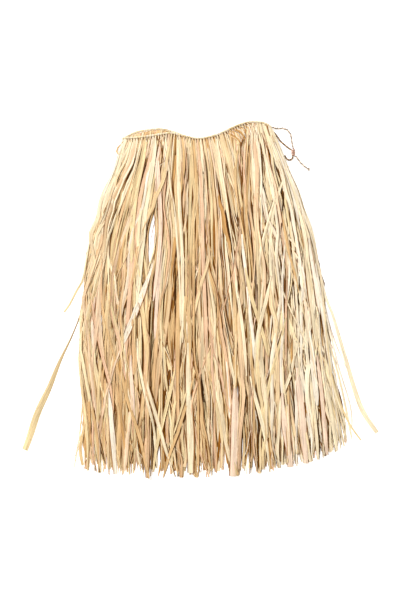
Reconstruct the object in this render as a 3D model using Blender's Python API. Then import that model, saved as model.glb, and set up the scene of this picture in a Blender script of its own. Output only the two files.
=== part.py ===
"""A raffia grass skirt, laid flat with its two ties knotted together.

The skirt is one long row of raffia strips hitched over a waist cord. Laid
flat, the row is folded at the left, so a back panel lies on the surface and a
front panel lies on the back one. At the right some strips of the front panel
are tucked under the last hitches of the row, the overlap panel, which so
rides a little higher. The ends of the waist cord leave at the right as two
twisted ties. They lie on the surface and are knotted together.

Frame: the surface is z = 0, +Y runs from the hem to the waist and +X to the
end with the ties. The tables and sizes below are in millimetres from a point
near the middle, and CENTRE is the middle of the whole skirt in them.
"""

import bisect
import math
import random
from collections import namedtuple

import bmesh
import bpy
from mathutils import Vector

MM = 0.001
CENTRE = Vector((1.28, 4.43, 0.0))

# Driving dimensions of the hitched row.
HITCH_PITCH = 6.5  # from one folded bundle of strips to the next, along the waist
ROOT_WIDTH = 4.3  # a bundle where it leaves the heading
TOOTH_LENGTH = 7.5  # how far a bundle stays pinched below the heading
HEADING_HEMWARD = 2.4  # how far the heading reaches from its cord, to the hem
HEADING_WAISTWARD = 2.9  # and away from the hem
HEADING_HEIGHT = 5.6
PINCH = 0.7  # the heading's size between two bundles, as a share
SEAM_GAP = 0.3  # between pieces that touch

# Each bundle splits into a lower and an upper strip. Heights are above the
# panel's own underside: a root's bottom and top, and a strip's middle.
ROOT_HEIGHTS = ((0.0, 2.0), (3.3, 5.3))
STRIP_HEIGHTS = (1.35, 3.9)
STRIP_THICKNESS = 1.0
MOST_ROLL = math.radians(7)
FLAT_HEIGHT = 0.6  # the middle of a strip that lies on the surface
FLAT_THICKNESS = 1.2
LOWER, UPPER = 0, 1

# The heights of the panels' undersides.
BACK_BASE = 0.0
FRONT_BASE = HEADING_HEIGHT + 0.4
OVERLAP_BASE = FRONT_BASE + 2.7

# A strip is as wide as its neighbours leave room for, up to its own width.
STRIP_WIDTHS = (6.2, 10.5)
STRIP_GAP = 0.7

# Where a strip's sections lie, as shares of the way from waist to hem.
SECTION_SHARES = (0.15, 0.39, 0.69, 1.0)
TIP_SHORTFALL = 0.03  # the hem is uneven by up to this share of the way
SHAKE = 0.0022  # how far a strip strays sideways, as a share of the width

# A tucked strip runs along the waist first, then turns down past this pit.
PIT = Vector((98.0, 386.0, 0.0))
PIT_SPREAD = 27.0  # the strips' spread as they turn, along the waist

TIE_DIAMETER = 3.2
TIE_POINT_EVERY = 7.5

# The skirt's outline on the surface, as (x, y).
FRONT_WAIST = (
    (-181, 390), (-157, 391), (-122, 395), (-84, 401), (-64, 402), (-42, 397),
    (-12, 390), (12, 391), (38, 398), (62, 408), (88, 420), (114, 428),
    (144, 428), (158, 424), (170, 417),
)
BACK_WAIST = (
    (-181, 392), (-160, 403), (-136, 409), (-103, 413), (-82, 411), (-60, 405),
    (-36, 396), (-8, 389), (20, 391), (50, 399), (86, 413), (118, 421),
    (146, 420), (166, 411),
)
FOLD_WAIST = ((-187.1, 388.8), (-181.3, 391.8))
LEFT_EDGE = (
    (-180, 387), (-207, 322), (-244, 242), (-267, 158), (-276, 79), (-285, -22),
    (-288, -118), (-287, -238), (-289, -322), (-288, -398),
)
RIGHT_EDGE = (
    (170, 415), (200, 350), (222, 302), (249, 242), (270, 158), (292, 70),
    (303, -22), (313, -118), (334, -218), (348, -290), (356, -348),
)
HEM = (
    (-288, -398), (-240, -412), (-120, -422), (0, -423), (96, -419),
    (173, -407), (247, -391), (319, -368), (356, -348),
)

# The strips that stray from the skirt, each from its panel's first (0) or last
# (-1) hitch, as (x, y, width, height of the middle).
Stray = namedtuple("Stray", "hitch level rows")
LONG_STRAY = Stray(0, LOWER, (
    (-191, 364, 4.5, 0.6), (-203, 324, 7, 0.6), (-240, 244, 8, 0.6),
    (-263, 160, 8, 0.6), (-273, 80, 7, 0.6), (-283, -15, 5, 0.6),
    (-305, -79, 6, 0.6), (-336, -144, 9, 0.6), (-362, -209, 14, 0.6),
    (-389, -266, 16, 0.6), (-408, -324, 17, 0.6), (-420, -357, 14, 0.6),
))
SHORT_STRAY = Stray(0, UPPER, (
    (-191, 364, 4.5, 4.0), (-205, 323, 5, 3.8), (-242, 243, 6, 3.8),
    (-265, 160, 6, 3.8), (-275, 95, 6, 3.6), (-281, 51, 6, 2.6),
    (-298, 21, 6, 1.0), (-312, -7, 6, 0.6), (-326, -27, 5, 0.6),
))
PALE_STRAY = Stray(-1, LOWER, (
    (196, 352, 4.5, 0.6), (217, 302, 5, 0.6), (244, 242, 5.5, 0.6),
    (266, 158, 6, 0.6), (287, 70, 6, 0.6), (301, 10, 6, 0.6),
    (318, -32, 7, 0.6), (336, -94, 8, 0.6), (353, -151, 9, 0.6),
    (370, -209, 11, 0.6), (391, -266, 12, 0.6), (425, -316, 10, 0.6),
))
THIN_STRAY = Stray(-1, UPPER, (
    (196, 352, 4.5, 4.2), (217, 302, 5, 3.8), (244, 242, 5, 3.8),
    (266, 158, 5, 3.8), (287, 70, 5, 3.8), (297, -22, 5, 3.8),
    (307, -118, 5, 3.8), (319, -195, 6, 3.8), (353, -285, 6, 2.4),
    (386, -334, 5, 0.8),
))

# A run of hitches, sliced from its panel's row, fans out between two shares of
# the skirt's width. A tucked run turns past the pit first.
Run = namedtuple("Run", "first last levels from_share to_share tucked")
Panel = namedtuple("Panel", "name colour waist first last base runs strays seed")
HUMP = 0.842  # where the front panel's hitches end and the overlap's begin
TUCKED_HITCHES = 8

# The ties, as (x, y, height): each lies on the surface once it is down.
Tie = namedtuple("Tie", "name colour points")
TIE_REST = TIE_DIAMETER / 2 + 0.1
KNOT_CENTRE = Vector((223.0, 356.0, 3.7))
KNOT_SIZE = Vector((8.0, 19.0, 7.0))
END_KNOT_SIZE = Vector((6.4, 6.4, 5.6))


class Route:
    """A smooth curve through a few points, walked by the share of its length."""

    STEPS_PER_SPAN = 12

    def __init__(self, points):
        knots = [Vector((*point, 0.0)[:3]) for point in points]
        before, after = 2 * knots[0] - knots[1], 2 * knots[-1] - knots[-2]
        padded = [before, *knots, after]
        self.dense = [knots[0]]
        for a, b, c, d in zip(padded, padded[1:], padded[2:], padded[3:]):
            for step in range(1, self.STEPS_PER_SPAN + 1):
                self.dense.append(self.between(a, b, c, d, step / self.STEPS_PER_SPAN))
        self.walked = [0.0]
        for p, q in zip(self.dense, self.dense[1:]):
            self.walked.append(self.walked[-1] + (q - p).length)
        self.length = self.walked[-1]

    @staticmethod
    def between(a, b, c, d, t):
        """The Catmull-Rom point a share t of the way from b to c."""
        return 0.5 * (
            2 * b
            + (c - a) * t
            + (2 * a - 5 * b + 4 * c - d) * t**2
            + (3 * b - a - 3 * c + d) * t**3
        )

    def at(self, share):
        far = min(max(share, 0.0), 1.0) * self.length
        k = min(max(bisect.bisect_left(self.walked, far), 1), len(self.walked) - 1)
        start, end = self.walked[k - 1], self.walked[k]
        return self.dense[k - 1].lerp(self.dense[k], (far - start) / (end - start))

    def hemward(self, share):
        """The level direction square to the route, on its right hand."""
        reach = 0.004
        low, high = max(share - reach, 0.0), min(share + reach, 1.0)
        travel = (self.at(high) - self.at(low)).normalized()
        return Vector((travel.y, -travel.x, 0.0))


FRONT, BACK, FOLD = Route(FRONT_WAIST), Route(BACK_WAIST), Route(FOLD_WAIST)
LEFT, RIGHT, HEM_LINE = Route(LEFT_EDGE), Route(RIGHT_EDGE), Route(HEM)


def ramp(x):
    """0 to 1, easing in and out."""
    x = min(max(x, 0.0), 1.0)
    return x * x * (3 - 2 * x)


def on_skirt(waist, across, down):
    """A point between the waist, the hem and both edges: a Coons patch."""
    top, bottom = waist.at(across), HEM_LINE.at(across)
    left, right = LEFT.at(down), RIGHT.at(down)
    corners = (1 - down) * waist.at(0).lerp(waist.at(1), across)
    corners += down * HEM_LINE.at(0).lerp(HEM_LINE.at(1), across)
    return top.lerp(bottom, down) + left.lerp(right, across) - corners


def sway(across, order, down, phase):
    """A sideways drift, in shares of the width, that keeps strips in order
    and dies out at the two ends of a run."""
    most, waves = 0.011, 3.3
    inside = min(1.0, 12 * order * (1 - order))
    return most * inside * ramp(down) * math.sin(2 * math.pi * (waves * across + phase))


# The heading.


def heading_profile(scale):
    """The heading's outline as (towards the hem, up).

    Its first four points run up the side that the strips leave from, so the
    faces there are the lower root, a spacer and the upper root.
    """
    middle = HEADING_HEIGHT / 2
    outline = [(HEADING_HEMWARD, z) for band in ROOT_HEIGHTS for z in band]
    outline += [
        (-0.4 * HEADING_WAISTWARD, HEADING_HEIGHT),
        (-HEADING_WAISTWARD, middle),
        (-0.5 * HEADING_WAISTWARD, 0.0),
    ]
    return [(n * scale, middle + (z - middle) * scale) for n, z in outline]


def heading_ring(bm, panel, share, scale):
    point, hemward = panel.waist.at(share), panel.waist.hemward(share)
    ring = []
    for n, z in heading_profile(scale):
        place = point + hemward * n + Vector((0, 0, panel.base + z))
        ring.append(bm.verts.new(place * MM))
    return ring


def build_heading(bm, panel):
    """Lofts the row of hitched bundles, and returns its root faces by
    (hitch, level) and its number of hitches."""
    length = panel.waist.length
    span = (panel.last - panel.first) * length
    hitches = round(span / HITCH_PITCH)
    pitch = span / hitches
    stops = [(0.0, PINCH)]
    for hitch in range(hitches):
        middle = (hitch + 0.5) * pitch
        stops.append((middle - ROOT_WIDTH / 2, 1.0))
        stops.append((middle + ROOT_WIDTH / 2, 1.0))
        stops.append(((hitch + 1) * pitch, PINCH))
    rings = [
        heading_ring(bm, panel, panel.first + walked / length, scale)
        for walked, scale in stops
    ]
    roots = {}
    for index, (ring_a, ring_b) in enumerate(zip(rings, rings[1:])):
        for k, (a, b) in enumerate(zip(ring_a, ring_b)):
            above = (k + 1) % len(ring_a)
            face = bm.faces.new((a, b, ring_b[above], ring_a[above]))
            if index % 3 == 1 and k in (0, 2):
                roots[index // 3, k // 2] = face
    bm.faces.new(rings[0])
    bm.faces.new(rings[-1])
    return roots, hitches


# The strips.


class Strip:
    """A strip's middle line from its root on, with its size at each section."""

    def __init__(self, hitch, level, middle, widths, heights, rolls):
        self.hitch, self.level, self.middle = hitch, level, middle
        self.widths, self.heights, self.rolls = widths, heights, rolls

    def side(self, k):
        """The level direction across the strip at its k-th section."""
        ahead = self.middle[min(k + 1, len(self.middle) - 1)]
        travel = ahead - self.middle[k - 1]
        return Vector((-travel.y, travel.x, 0.0)).normalized()

    def narrow(self, k, neighbours):
        """Takes the k-th section in to the room beside its neighbours."""
        side = self.side(k)
        for other in neighbours:
            room = abs((other.middle[k] - self.middle[k]).dot(side)) - STRIP_GAP
            self.widths[k] = min(self.widths[k], room)


def leave_heading(panel, hitches, hitch):
    """A strip's first two points: its root and the end of the pinched part."""
    share = panel.first + (panel.last - panel.first) * (hitch + 0.5) / hitches
    point, hemward = panel.waist.at(share), panel.waist.hemward(share)
    root = point + hemward * HEADING_HEMWARD
    return [root, root + hemward * TOOTH_LENGTH]


def turn_at_pit(start, order):
    """A tucked strip's next two points, by its order from 0 to 1."""
    turn = PIT + Vector((PIT_SPREAD * order, 17 * order, 0.0))
    return [start.lerp(turn, 0.55) + Vector((0.0, 4.0, 0.0)), turn]


def run_strips(panel, run, hitches, chance):
    """The strips of one run: a list for each level, in order along the waist."""
    lies_flat = panel.base == BACK_BASE
    rows = []
    for level in run.levels:
        phase, row = chance.random(), []
        numbers = range(hitches)[run.first : run.last]
        for hitch in numbers:
            order = (hitch - numbers[0] + 0.5) / len(numbers)
            fan = run.from_share + (run.to_share - run.from_share) * order
            middle = leave_heading(panel, hitches, hitch)
            if run.tucked:
                middle[1] = middle[0].lerp(middle[1], 0.5)
                middle += turn_at_pit(middle[1], order)
            early = len(middle)
            reach = 1 - TIP_SHORTFALL * chance.random()
            for share in SECTION_SHARES:
                down = share * reach
                across = fan + sway(fan, order, down, phase)
                across += SHAKE * chance.uniform(-1, 1)
                middle.append(on_skirt(panel.waist, across, down))
            bottom, top = ROOT_HEIGHTS[level]
            flat = lies_flat and level == LOWER
            height = FLAT_HEIGHT if flat else STRIP_HEIGHTS[level]
            thickness = FLAT_THICKNESS if flat else STRIP_THICKNESS
            sizes = [((bottom + top) / 2, top - bottom)] * 2
            sizes += [(height, thickness)] * (len(middle) - 2)
            rolls = [0.0] * early
            for _ in SECTION_SHARES:
                rolls.append(0.0 if flat else chance.uniform(-MOST_ROLL, MOST_ROLL))
            widths = [ROOT_WIDTH] * 2
            widths += [chance.uniform(*STRIP_WIDTHS)] * (len(middle) - 2)
            row.append(Strip(hitch, level, middle, widths, sizes, rolls))
        for strip, before, after in zip(row, [None, *row], [*row[1:], None]):
            neighbours = [other for other in (before, after) if other]
            for k in range(1, len(strip.middle)):
                strip.narrow(k, neighbours)
        rows.append(row)
    return rows


def stray_strip(panel, hitches, stray):
    hitch = stray.hitch % hitches
    middle = leave_heading(panel, hitches, hitch)
    bottom, top = ROOT_HEIGHTS[stray.level]
    widths = [ROOT_WIDTH] * 2
    sizes = [((bottom + top) / 2, top - bottom)] * 2
    for x, y, width, height in stray.rows:
        middle.append(Vector((x, y, 0.0)))
        widths.append(width)
        sizes.append((height, FLAT_THICKNESS))
    return Strip(hitch, stray.level, middle, widths, sizes, [0.0] * len(middle))


def section_corners(strip, k, base):
    """A section's corners: lower left, lower right, upper right, upper left."""
    height, thickness = strip.heights[k]
    roll, level = strip.rolls[k], strip.side(k)
    upright = Vector((0.0, 0.0, 1.0))
    across = (level * math.cos(roll) + upright * math.sin(roll)) * strip.widths[k] / 2
    up = (upright * math.cos(roll) - level * math.sin(roll)) * thickness / 2
    centre = strip.middle[k] + upright * (base + height)
    return [
        centre - across - up,
        centre + across - up,
        centre + across + up,
        centre - across + up,
    ]


def grow_strip(bm, root, strip, base):
    """Extrudes a root face from section to section, out to the strip's tip."""
    face = root
    for k in range(1, len(strip.middle)):
        face = bmesh.ops.extrude_discrete_faces(bm, faces=[face])["faces"][0]
        for vert, corner in zip(face.verts, section_corners(strip, k, base)):
            vert.co = corner * MM


# The pieces.


def raffia(name, colour):
    made = bpy.data.materials.new(name)
    made.use_nodes = True
    shader = made.node_tree.nodes["Principled BSDF"]
    shader.inputs["Base Color"].default_value = (*colour, 1.0)
    shader.inputs["Roughness"].default_value = 0.6
    shader.inputs["Metallic"].default_value = 0.0
    made.diffuse_color = (*colour, 1.0)
    return made


def add_object(name, shape, colour, collection):
    shape.materials.append(raffia(name + "_raffia", colour))
    made = bpy.data.objects.new(name, shape)
    made.location = -CENTRE * MM
    collection.objects.link(made)
    return made


def finish_mesh(name, bm):
    bmesh.ops.recalc_face_normals(bm, faces=bm.faces[:])
    mesh = bpy.data.meshes.new(name)
    bm.to_mesh(mesh)
    bm.free()
    return mesh


def build_panel(panel, collection):
    bm = bmesh.new()
    chance = random.Random(panel.seed)
    roots, hitches = build_heading(bm, panel)
    strips = [stray_strip(panel, hitches, stray) for stray in panel.strays]
    for run in panel.runs:
        for row in run_strips(panel, run, hitches, chance):
            strips += row
    for strip in strips:
        grow_strip(bm, roots[strip.hitch, strip.level], strip, panel.base)
    return add_object(panel.name, finish_mesh(panel.name, bm), panel.colour, collection)


def build_tie(tie, collection):
    """A tube along a smooth curve through the tie's points."""
    route = Route(tie.points)
    spans = max(2, round(route.length / TIE_POINT_EVERY))
    curve = bpy.data.curves.new(tie.name, "CURVE")
    curve.dimensions = "3D"
    curve.bevel_depth = TIE_DIAMETER / 2 * MM
    curve.bevel_resolution = 2
    curve.use_fill_caps = True
    spline = curve.splines.new("POLY")
    spline.points.add(spans)
    for index, point in enumerate(spline.points):
        point.co = (*(route.at(index / spans) * MM), 1.0)
    return add_object(tie.name, curve, tie.colour, collection)


def build_knot(name, centre, size, colour, collection):
    bm = bmesh.new()
    bmesh.ops.create_uvsphere(bm, u_segments=12, v_segments=8, radius=0.5)
    bmesh.ops.scale(bm, vec=size * MM, verts=bm.verts[:])
    bmesh.ops.translate(bm, vec=centre * MM, verts=bm.verts[:])
    return add_object(name, finish_mesh(name, bm), colour, collection)


def main():
    for thing in list(bpy.data.objects):
        bpy.data.objects.remove(thing)
    skirt = bpy.data.collections.new("grass_skirt")
    bpy.context.scene.collection.children.link(skirt)

    gap_share = SEAM_GAP / 2 / FRONT.length
    both = (LOWER, UPPER)
    panels = (
        Panel("back_panel", (0.62, 0.43, 0.22), BACK, 0.0, 1.0, BACK_BASE,
              [Run(0, -1, both, 0.03, 0.965, False)],
              [PALE_STRAY, THIN_STRAY], 11),
        Panel("fold_hitch", (0.66, 0.48, 0.27), FOLD, 0.0, 1.0, BACK_BASE,
              [], [LONG_STRAY, SHORT_STRAY], 12),
        Panel("front_panel", (0.76, 0.56, 0.32), FRONT, 0.0, HUMP - gap_share, FRONT_BASE,
              [Run(0, -TUCKED_HITCHES, both, 0.0, 0.703, False),
               Run(-TUCKED_HITCHES, None, (LOWER,), 0.725, 0.945, True)],
              [], 13),
        Panel("overlap_panel", (0.80, 0.60, 0.36), FRONT, HUMP + gap_share, 1.0, OVERLAP_BASE,
              [Run(0, None, both, 0.709, 1.008, False)],
              [], 14),
    )
    for panel in panels:
        build_panel(panel, skirt)

    knot_top = KNOT_CENTRE.y + KNOT_SIZE.y / 2 + SEAM_GAP
    knot_bottom = KNOT_CENTRE.y - KNOT_SIZE.y / 2 - SEAM_GAP
    ties = (
        Tie("upper_tie", (0.78, 0.62, 0.42), (
            (170.8, 416.4, OVERLAP_BASE + HEADING_HEIGHT / 2), (180, 414, 6.5),
            (190, 414, TIE_REST), (199, 414, TIE_REST), (209, 410, TIE_REST),
            (215, 403, TIE_REST), (218, 396, TIE_REST), (219, 386, TIE_REST),
            (221, 376, TIE_REST + 0.6), (223, knot_top, 3.4),
        )),
        Tie("lower_tie", (0.52, 0.36, 0.20), (
            (167.0, 410.5, HEADING_HEIGHT / 2), (174, 406, 2.2), (181, 400, TIE_REST),
            (188, 390, TIE_REST), (194, 382, TIE_REST), (201, 376, TIE_REST),
            (208, 370, TIE_REST), (214, 365.3, TIE_REST + 0.6), (219.7, 363, 3.2),
        )),
        Tie("short_end", (0.50, 0.34, 0.20), (
            (222, knot_bottom, 3.2), (220, 338.5, TIE_REST), (214.5, 334.8, TIE_REST),
            (208.5, 337, TIE_REST), (205.5, 343, TIE_REST), (205.2, 350, TIE_REST),
        )),
        Tie("long_end", (0.74, 0.58, 0.40), (
            (225.9, 348.5, 3.4), (232, 344, TIE_REST), (239, 334, TIE_REST),
            (248, 325, TIE_REST), (257, 318, TIE_REST),
        )),
    )
    for tie in ties:
        build_tie(tie, skirt)
    build_knot("tie_knot", KNOT_CENTRE, KNOT_SIZE, (0.60, 0.42, 0.26), skirt)
    end_knot = Vector((260.0, 316.0, END_KNOT_SIZE.z / 2))
    build_knot("end_knot", end_knot, END_KNOT_SIZE, (0.72, 0.56, 0.40), skirt)


main()
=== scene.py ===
# %% [markdown]
# # A raffia grass skirt, laid flat
#
# The real skirt is one long row of raffia strips. Each bundle of strips is
# folded in half and hitched over a waist cord, and the ends of the cord are the
# two ties. Laid flat, the row is folded at the left, so a back half lies on the
# table and a front half lies on top of it.
#
# Some seventeen hundred thin strips could be modelled by hand, grown as a hair
# system, or simulated as cloth. Here they are mesh ribbons laid one after the
# other by a short rule, each one resting on those below it. That takes about
# twenty seconds, needs no simulation, and gives the layers, bridges and deep
# gaps that make a real skirt look dense.

# %% Load the frame
import math
from collections import namedtuple

import bpy
import numpy as np
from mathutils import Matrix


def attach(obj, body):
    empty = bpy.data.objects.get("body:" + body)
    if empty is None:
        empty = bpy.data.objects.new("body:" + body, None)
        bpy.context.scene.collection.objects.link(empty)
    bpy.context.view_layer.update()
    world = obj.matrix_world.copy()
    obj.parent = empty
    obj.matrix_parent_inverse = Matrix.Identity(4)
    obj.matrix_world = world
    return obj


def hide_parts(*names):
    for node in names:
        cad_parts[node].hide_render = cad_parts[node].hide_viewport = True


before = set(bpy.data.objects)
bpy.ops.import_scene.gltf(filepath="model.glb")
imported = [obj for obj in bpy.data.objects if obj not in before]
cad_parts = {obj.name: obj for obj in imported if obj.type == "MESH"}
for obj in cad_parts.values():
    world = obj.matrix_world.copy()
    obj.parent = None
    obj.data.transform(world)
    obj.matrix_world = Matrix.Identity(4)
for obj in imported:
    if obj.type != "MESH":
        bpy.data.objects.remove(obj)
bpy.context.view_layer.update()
print("CAD nodes:", sorted(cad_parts))

# %% [markdown]
# ## Units and the middle of the skirt
#
# Craft measures are in millimetres, so every table below is too. They are
# measured from a point near the middle of the skirt, and `CENTRE` is where the
# frame has its origin, seen from that point.

# %% Units
MM = 0.001
CENTRE = np.array((1.28, 4.43, 0.0))


def in_frame(points):
    """Points in millimetres on the table, as metres in the frame."""
    return (np.asarray(points, dtype=float) - CENTRE) * MM


# %% [markdown]
# ## The camera
#
# The skirt is seen from straight above, as on a copy stand. A long lens at
# three metres keeps the strips' perspective small. The sensor is fitted to the
# frame's height, so the view is 1442 mm high whatever the picture's width is.

# %% Camera
VIEW_HEIGHT = 1442 * MM
VIEW_CENTRE = (-0.08 * MM, -3.23 * MM)
CAMERA_HEIGHT = 3.0
SENSOR_HEIGHT = 36.0  # in millimetres, as camera makers state it

camera = bpy.data.objects.new("camera", bpy.data.cameras.new("camera"))
bpy.context.scene.collection.objects.link(camera)
camera.location = (*VIEW_CENTRE, CAMERA_HEIGHT)
camera.data.sensor_fit = "VERTICAL"
camera.data.sensor_height = SENSOR_HEIGHT
camera.data.lens = SENSOR_HEIGHT * CAMERA_HEIGHT / VIEW_HEIGHT
camera.data.dof.use_dof = False
bpy.context.scene.camera = camera
print(f"lens {camera.data.lens:.0f} mm at {CAMERA_HEIGHT} m")

# %% [markdown]
# ## A material needs few tools
#
# Each finish below is a small node tree on a Principled BSDF. One function adds
# a node with its settings and links, and one turns a colour written as sRGB hex
# into the linear numbers that Blender mixes.


# %% Node and colour helpers
def linear(hex_colour):
    """An sRGB hex colour as linear red, green and blue."""
    shares = [int(hex_colour[i : i + 2], 16) / 255 for i in (0, 2, 4)]
    return [s / 12.92 if s <= 0.04045 else ((s + 0.055) / 1.055) ** 2.4 for s in shares]


def add_node(tree, kind, settings, inputs):
    """Adds a node. Each input is a value, or another node's output to link."""
    node = tree.nodes.new(kind)
    for name, value in settings.items():
        setattr(node, name, value)
    for name, value in inputs.items():
        if isinstance(value, bpy.types.NodeSocket):
            tree.links.new(value, node.inputs[name])
        else:
            node.inputs[name].default_value = value
    return node


def new_material(name, shader_inputs):
    """A material with a Principled BSDF, and its tree and shader."""
    made = bpy.data.materials.new(name)
    made.use_nodes = True
    shader = made.node_tree.nodes["Principled BSDF"]
    for socket, value in shader_inputs.items():
        shader.inputs[socket].default_value = value
    return made, made.node_tree, shader


# %% [markdown]
# ## The finish of dried raffia palm leaf
#
# Raffia is the skin of a young palm leaf, peeled off in strips and sun-dried.
# It is a matte, faintly waxy leaf: IOR 1.45 and a roughness of 0.55 give it a
# broad soft sheen and no sharp glint. Its ribs and torn fibres dull that sheen,
# so the specular level is a quarter of the usual 0.5. The eye reads it as raffia
# by its fine lengthwise ribs, by streaks that run for a few centimetres, and by
# brown flecks and brown edges where the leaf tore. The brown edges are also
# painted shade: they darken each strip's sides as the shade between strips would.
#
# Every strip brings its own leaf colour as a mesh attribute, and its UV map is
# in metres, across and along the strip. So one material serves them all, with
# each pattern drawn at its real size. Real ribs are about 0.2 mm apart, which is
# too fine to show at this distance, so they are drawn at 0.5 mm.

# %% Raffia material
RIB_SPACING, RIB_LENGTH = 0.5 * MM, 60 * MM
STREAK_WIDTH, STREAK_LENGTH = 2.0 * MM, 70 * MM
FLECK_WIDTH, FLECK_LENGTH = 2.2 * MM, 10 * MM
RIB_HEIGHT = 0.15 * MM
# the brown of torn edges, which also serves as painted shade along the strips' sides
TORN_BROWN_AND_SHADE = "9C6A38"

# Which part of a pattern counts, from and to, and what it becomes, from and to.
STREAK_SHADES = (0.36, 0.62, 0.76, 1.12)
RIB_SHADES = (0.3, 0.7, 0.92, 1.06)
TORN_AND_SHADED_SHARE = (0.72, 0.95, 0.0, 1.0)
FLECK_SHARE = (0.62, 0.74, 0.0, 0.35)


def grain(tree, uv, across, along, detail):
    """Noise stretched along the strip, in cells of the given size."""
    scaled = add_node(tree, "ShaderNodeVectorMath", {"operation": "MULTIPLY"},
                      {0: uv, 1: (1 / across, 1 / along, 1.0)})
    noise = add_node(tree, "ShaderNodeTexNoise", {"noise_dimensions": "2D"},
                     {"Vector": scaled.outputs["Vector"], "Scale": 1.0,
                      "Detail": detail, "Roughness": 0.6})
    return noise.outputs["Fac"]


def spread(tree, value, low, high, to_low, to_high):
    """Maps a value from one range to another, and keeps it inside."""
    mapped = add_node(tree, "ShaderNodeMapRange", {"clamp": True},
                      {"Value": value, "From Min": low, "From Max": high,
                       "To Min": to_low, "To Max": to_high})
    return mapped.outputs["Result"]


def dried_raffia(name):
    """Ribs, streaks, flecks and brown edges, partly painted shade, over the leaf's own colour."""
    made, tree, shader = new_material(
        name, {"Roughness": 0.55, "IOR": 1.45, "Specular IOR Level": 0.12}
    )
    uv = add_node(tree, "ShaderNodeUVMap", {"uv_map": "strip"}, {}).outputs["UV"]
    leaf = add_node(tree, "ShaderNodeAttribute", {"attribute_name": "leaf"}, {})
    edge = add_node(tree, "ShaderNodeAttribute", {"attribute_name": "edge"}, {})
    ribs = grain(tree, uv, RIB_SPACING, RIB_LENGTH, 2.0)
    streaks = grain(tree, uv, STREAK_WIDTH, STREAK_LENGTH, 3.0)
    flecks = grain(tree, uv, FLECK_WIDTH, FLECK_LENGTH, 2.0)

    shade = spread(tree, streaks, *STREAK_SHADES)
    fine = spread(tree, ribs, *RIB_SHADES)
    both = add_node(tree, "ShaderNodeMath", {"operation": "MULTIPLY"}, {0: shade, 1: fine})
    streaked = add_node(tree, "ShaderNodeVectorMath", {"operation": "SCALE"},
                        {0: leaf.outputs["Color"], "Scale": both.outputs[0]})
    # edges: partly torn brown, partly painted shade
    torn_and_shaded = spread(tree, edge.outputs["Fac"], *TORN_AND_SHADED_SHARE)
    spotted = spread(tree, flecks, *FLECK_SHARE)
    browned_and_shaded = add_node(tree, "ShaderNodeMath", {"operation": "MAXIMUM"}, {0: torn_and_shaded, 1: spotted})
    colour = add_node(tree, "ShaderNodeMix", {"data_type": "RGBA", "blend_type": "MULTIPLY"},
                      {0: browned_and_shaded.outputs[0], 6: streaked.outputs["Vector"],
                       7: (*linear(TORN_BROWN_AND_SHADE), 1.0)})
    tree.links.new(colour.outputs[2], shader.inputs["Base Color"])
    bump = add_node(tree, "ShaderNodeBump", {},
                    {"Strength": 0.5, "Distance": RIB_HEIGHT, "Height": ribs})
    tree.links.new(bump.outputs["Normal"], shader.inputs["Normal"])
    return made


RAFFIA = dried_raffia("dried_raffia_palm_leaf")
print("made", RAFFIA.name)

# %% [markdown]
# ## From rows of points to a mesh
#
# Ribbons and twines are both grids: sections one after the other, each with the
# same number of points. Filling a mesh from whole arrays is hundreds of times
# quicker than adding faces one by one, which matters with 350,000 of them.


# %% Grid meshes
class Grids:
    """Collects grids of points, and makes one mesh object of them."""

    def __init__(self):
        self.parts = []
        self.count = 0

    def add(self, points, quads, leaf, edge, uv):
        colour = np.ones((len(points), 4))
        colour[:, :3] = leaf
        self.parts.append((points, quads + self.count, colour, edge, uv))
        self.count += len(points)

    def make(self, name, sharp=35.0):
        points, quads, leaf, edge, uv = (np.concatenate(rows) for rows in zip(*self.parts))
        mesh = bpy.data.meshes.new(name)
        mesh.vertices.add(self.count)
        mesh.vertices.foreach_set("co", in_frame(points).ravel())
        mesh.loops.add(quads.size)
        mesh.loops.foreach_set("vertex_index", quads.astype(np.int32).ravel())
        mesh.polygons.add(len(quads))
        mesh.polygons.foreach_set("loop_start", np.arange(0, quads.size, 4, dtype=np.int32))
        mesh.polygons.foreach_set("use_smooth", np.ones(len(quads), dtype=bool))
        mesh.update(calc_edges=True)
        mesh.set_sharp_from_angle(angle=math.radians(sharp))
        colours = mesh.color_attributes.new("leaf", "FLOAT_COLOR", "POINT")
        colours.data.foreach_set("color", leaf.ravel())
        mesh.attributes.new("edge", "FLOAT", "POINT").data.foreach_set("value", edge)
        mesh.uv_layers.new(name="strip").data.foreach_set("uv", uv[quads.ravel()].ravel())
        mesh.materials.append(RAFFIA)
        made = bpy.data.objects.new(name, mesh)
        bpy.context.scene.collection.objects.link(made)
        print(f"{name}: {2 * len(quads)} triangles")
        return made


def tube_quads(sections, around):
    """The quads of a closed tube: its side, and both ends. Sides are even."""
    i, k = np.meshgrid(np.arange(sections - 1), np.arange(around), indexing="ij")
    i, k, after = i.ravel() * around, k.ravel(), (k.ravel() + 1) % around
    side = np.stack([i + k, i + after, i + around + after, i + around + k], axis=1)
    ends = []
    for k in range(around // 2 - 1):
        ring = np.array((k, k + 1, around - 2 - k, around - 1 - k))
        ends += [ring[::-1], ring + (sections - 1) * around]
    return np.vstack([side, ends])
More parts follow.
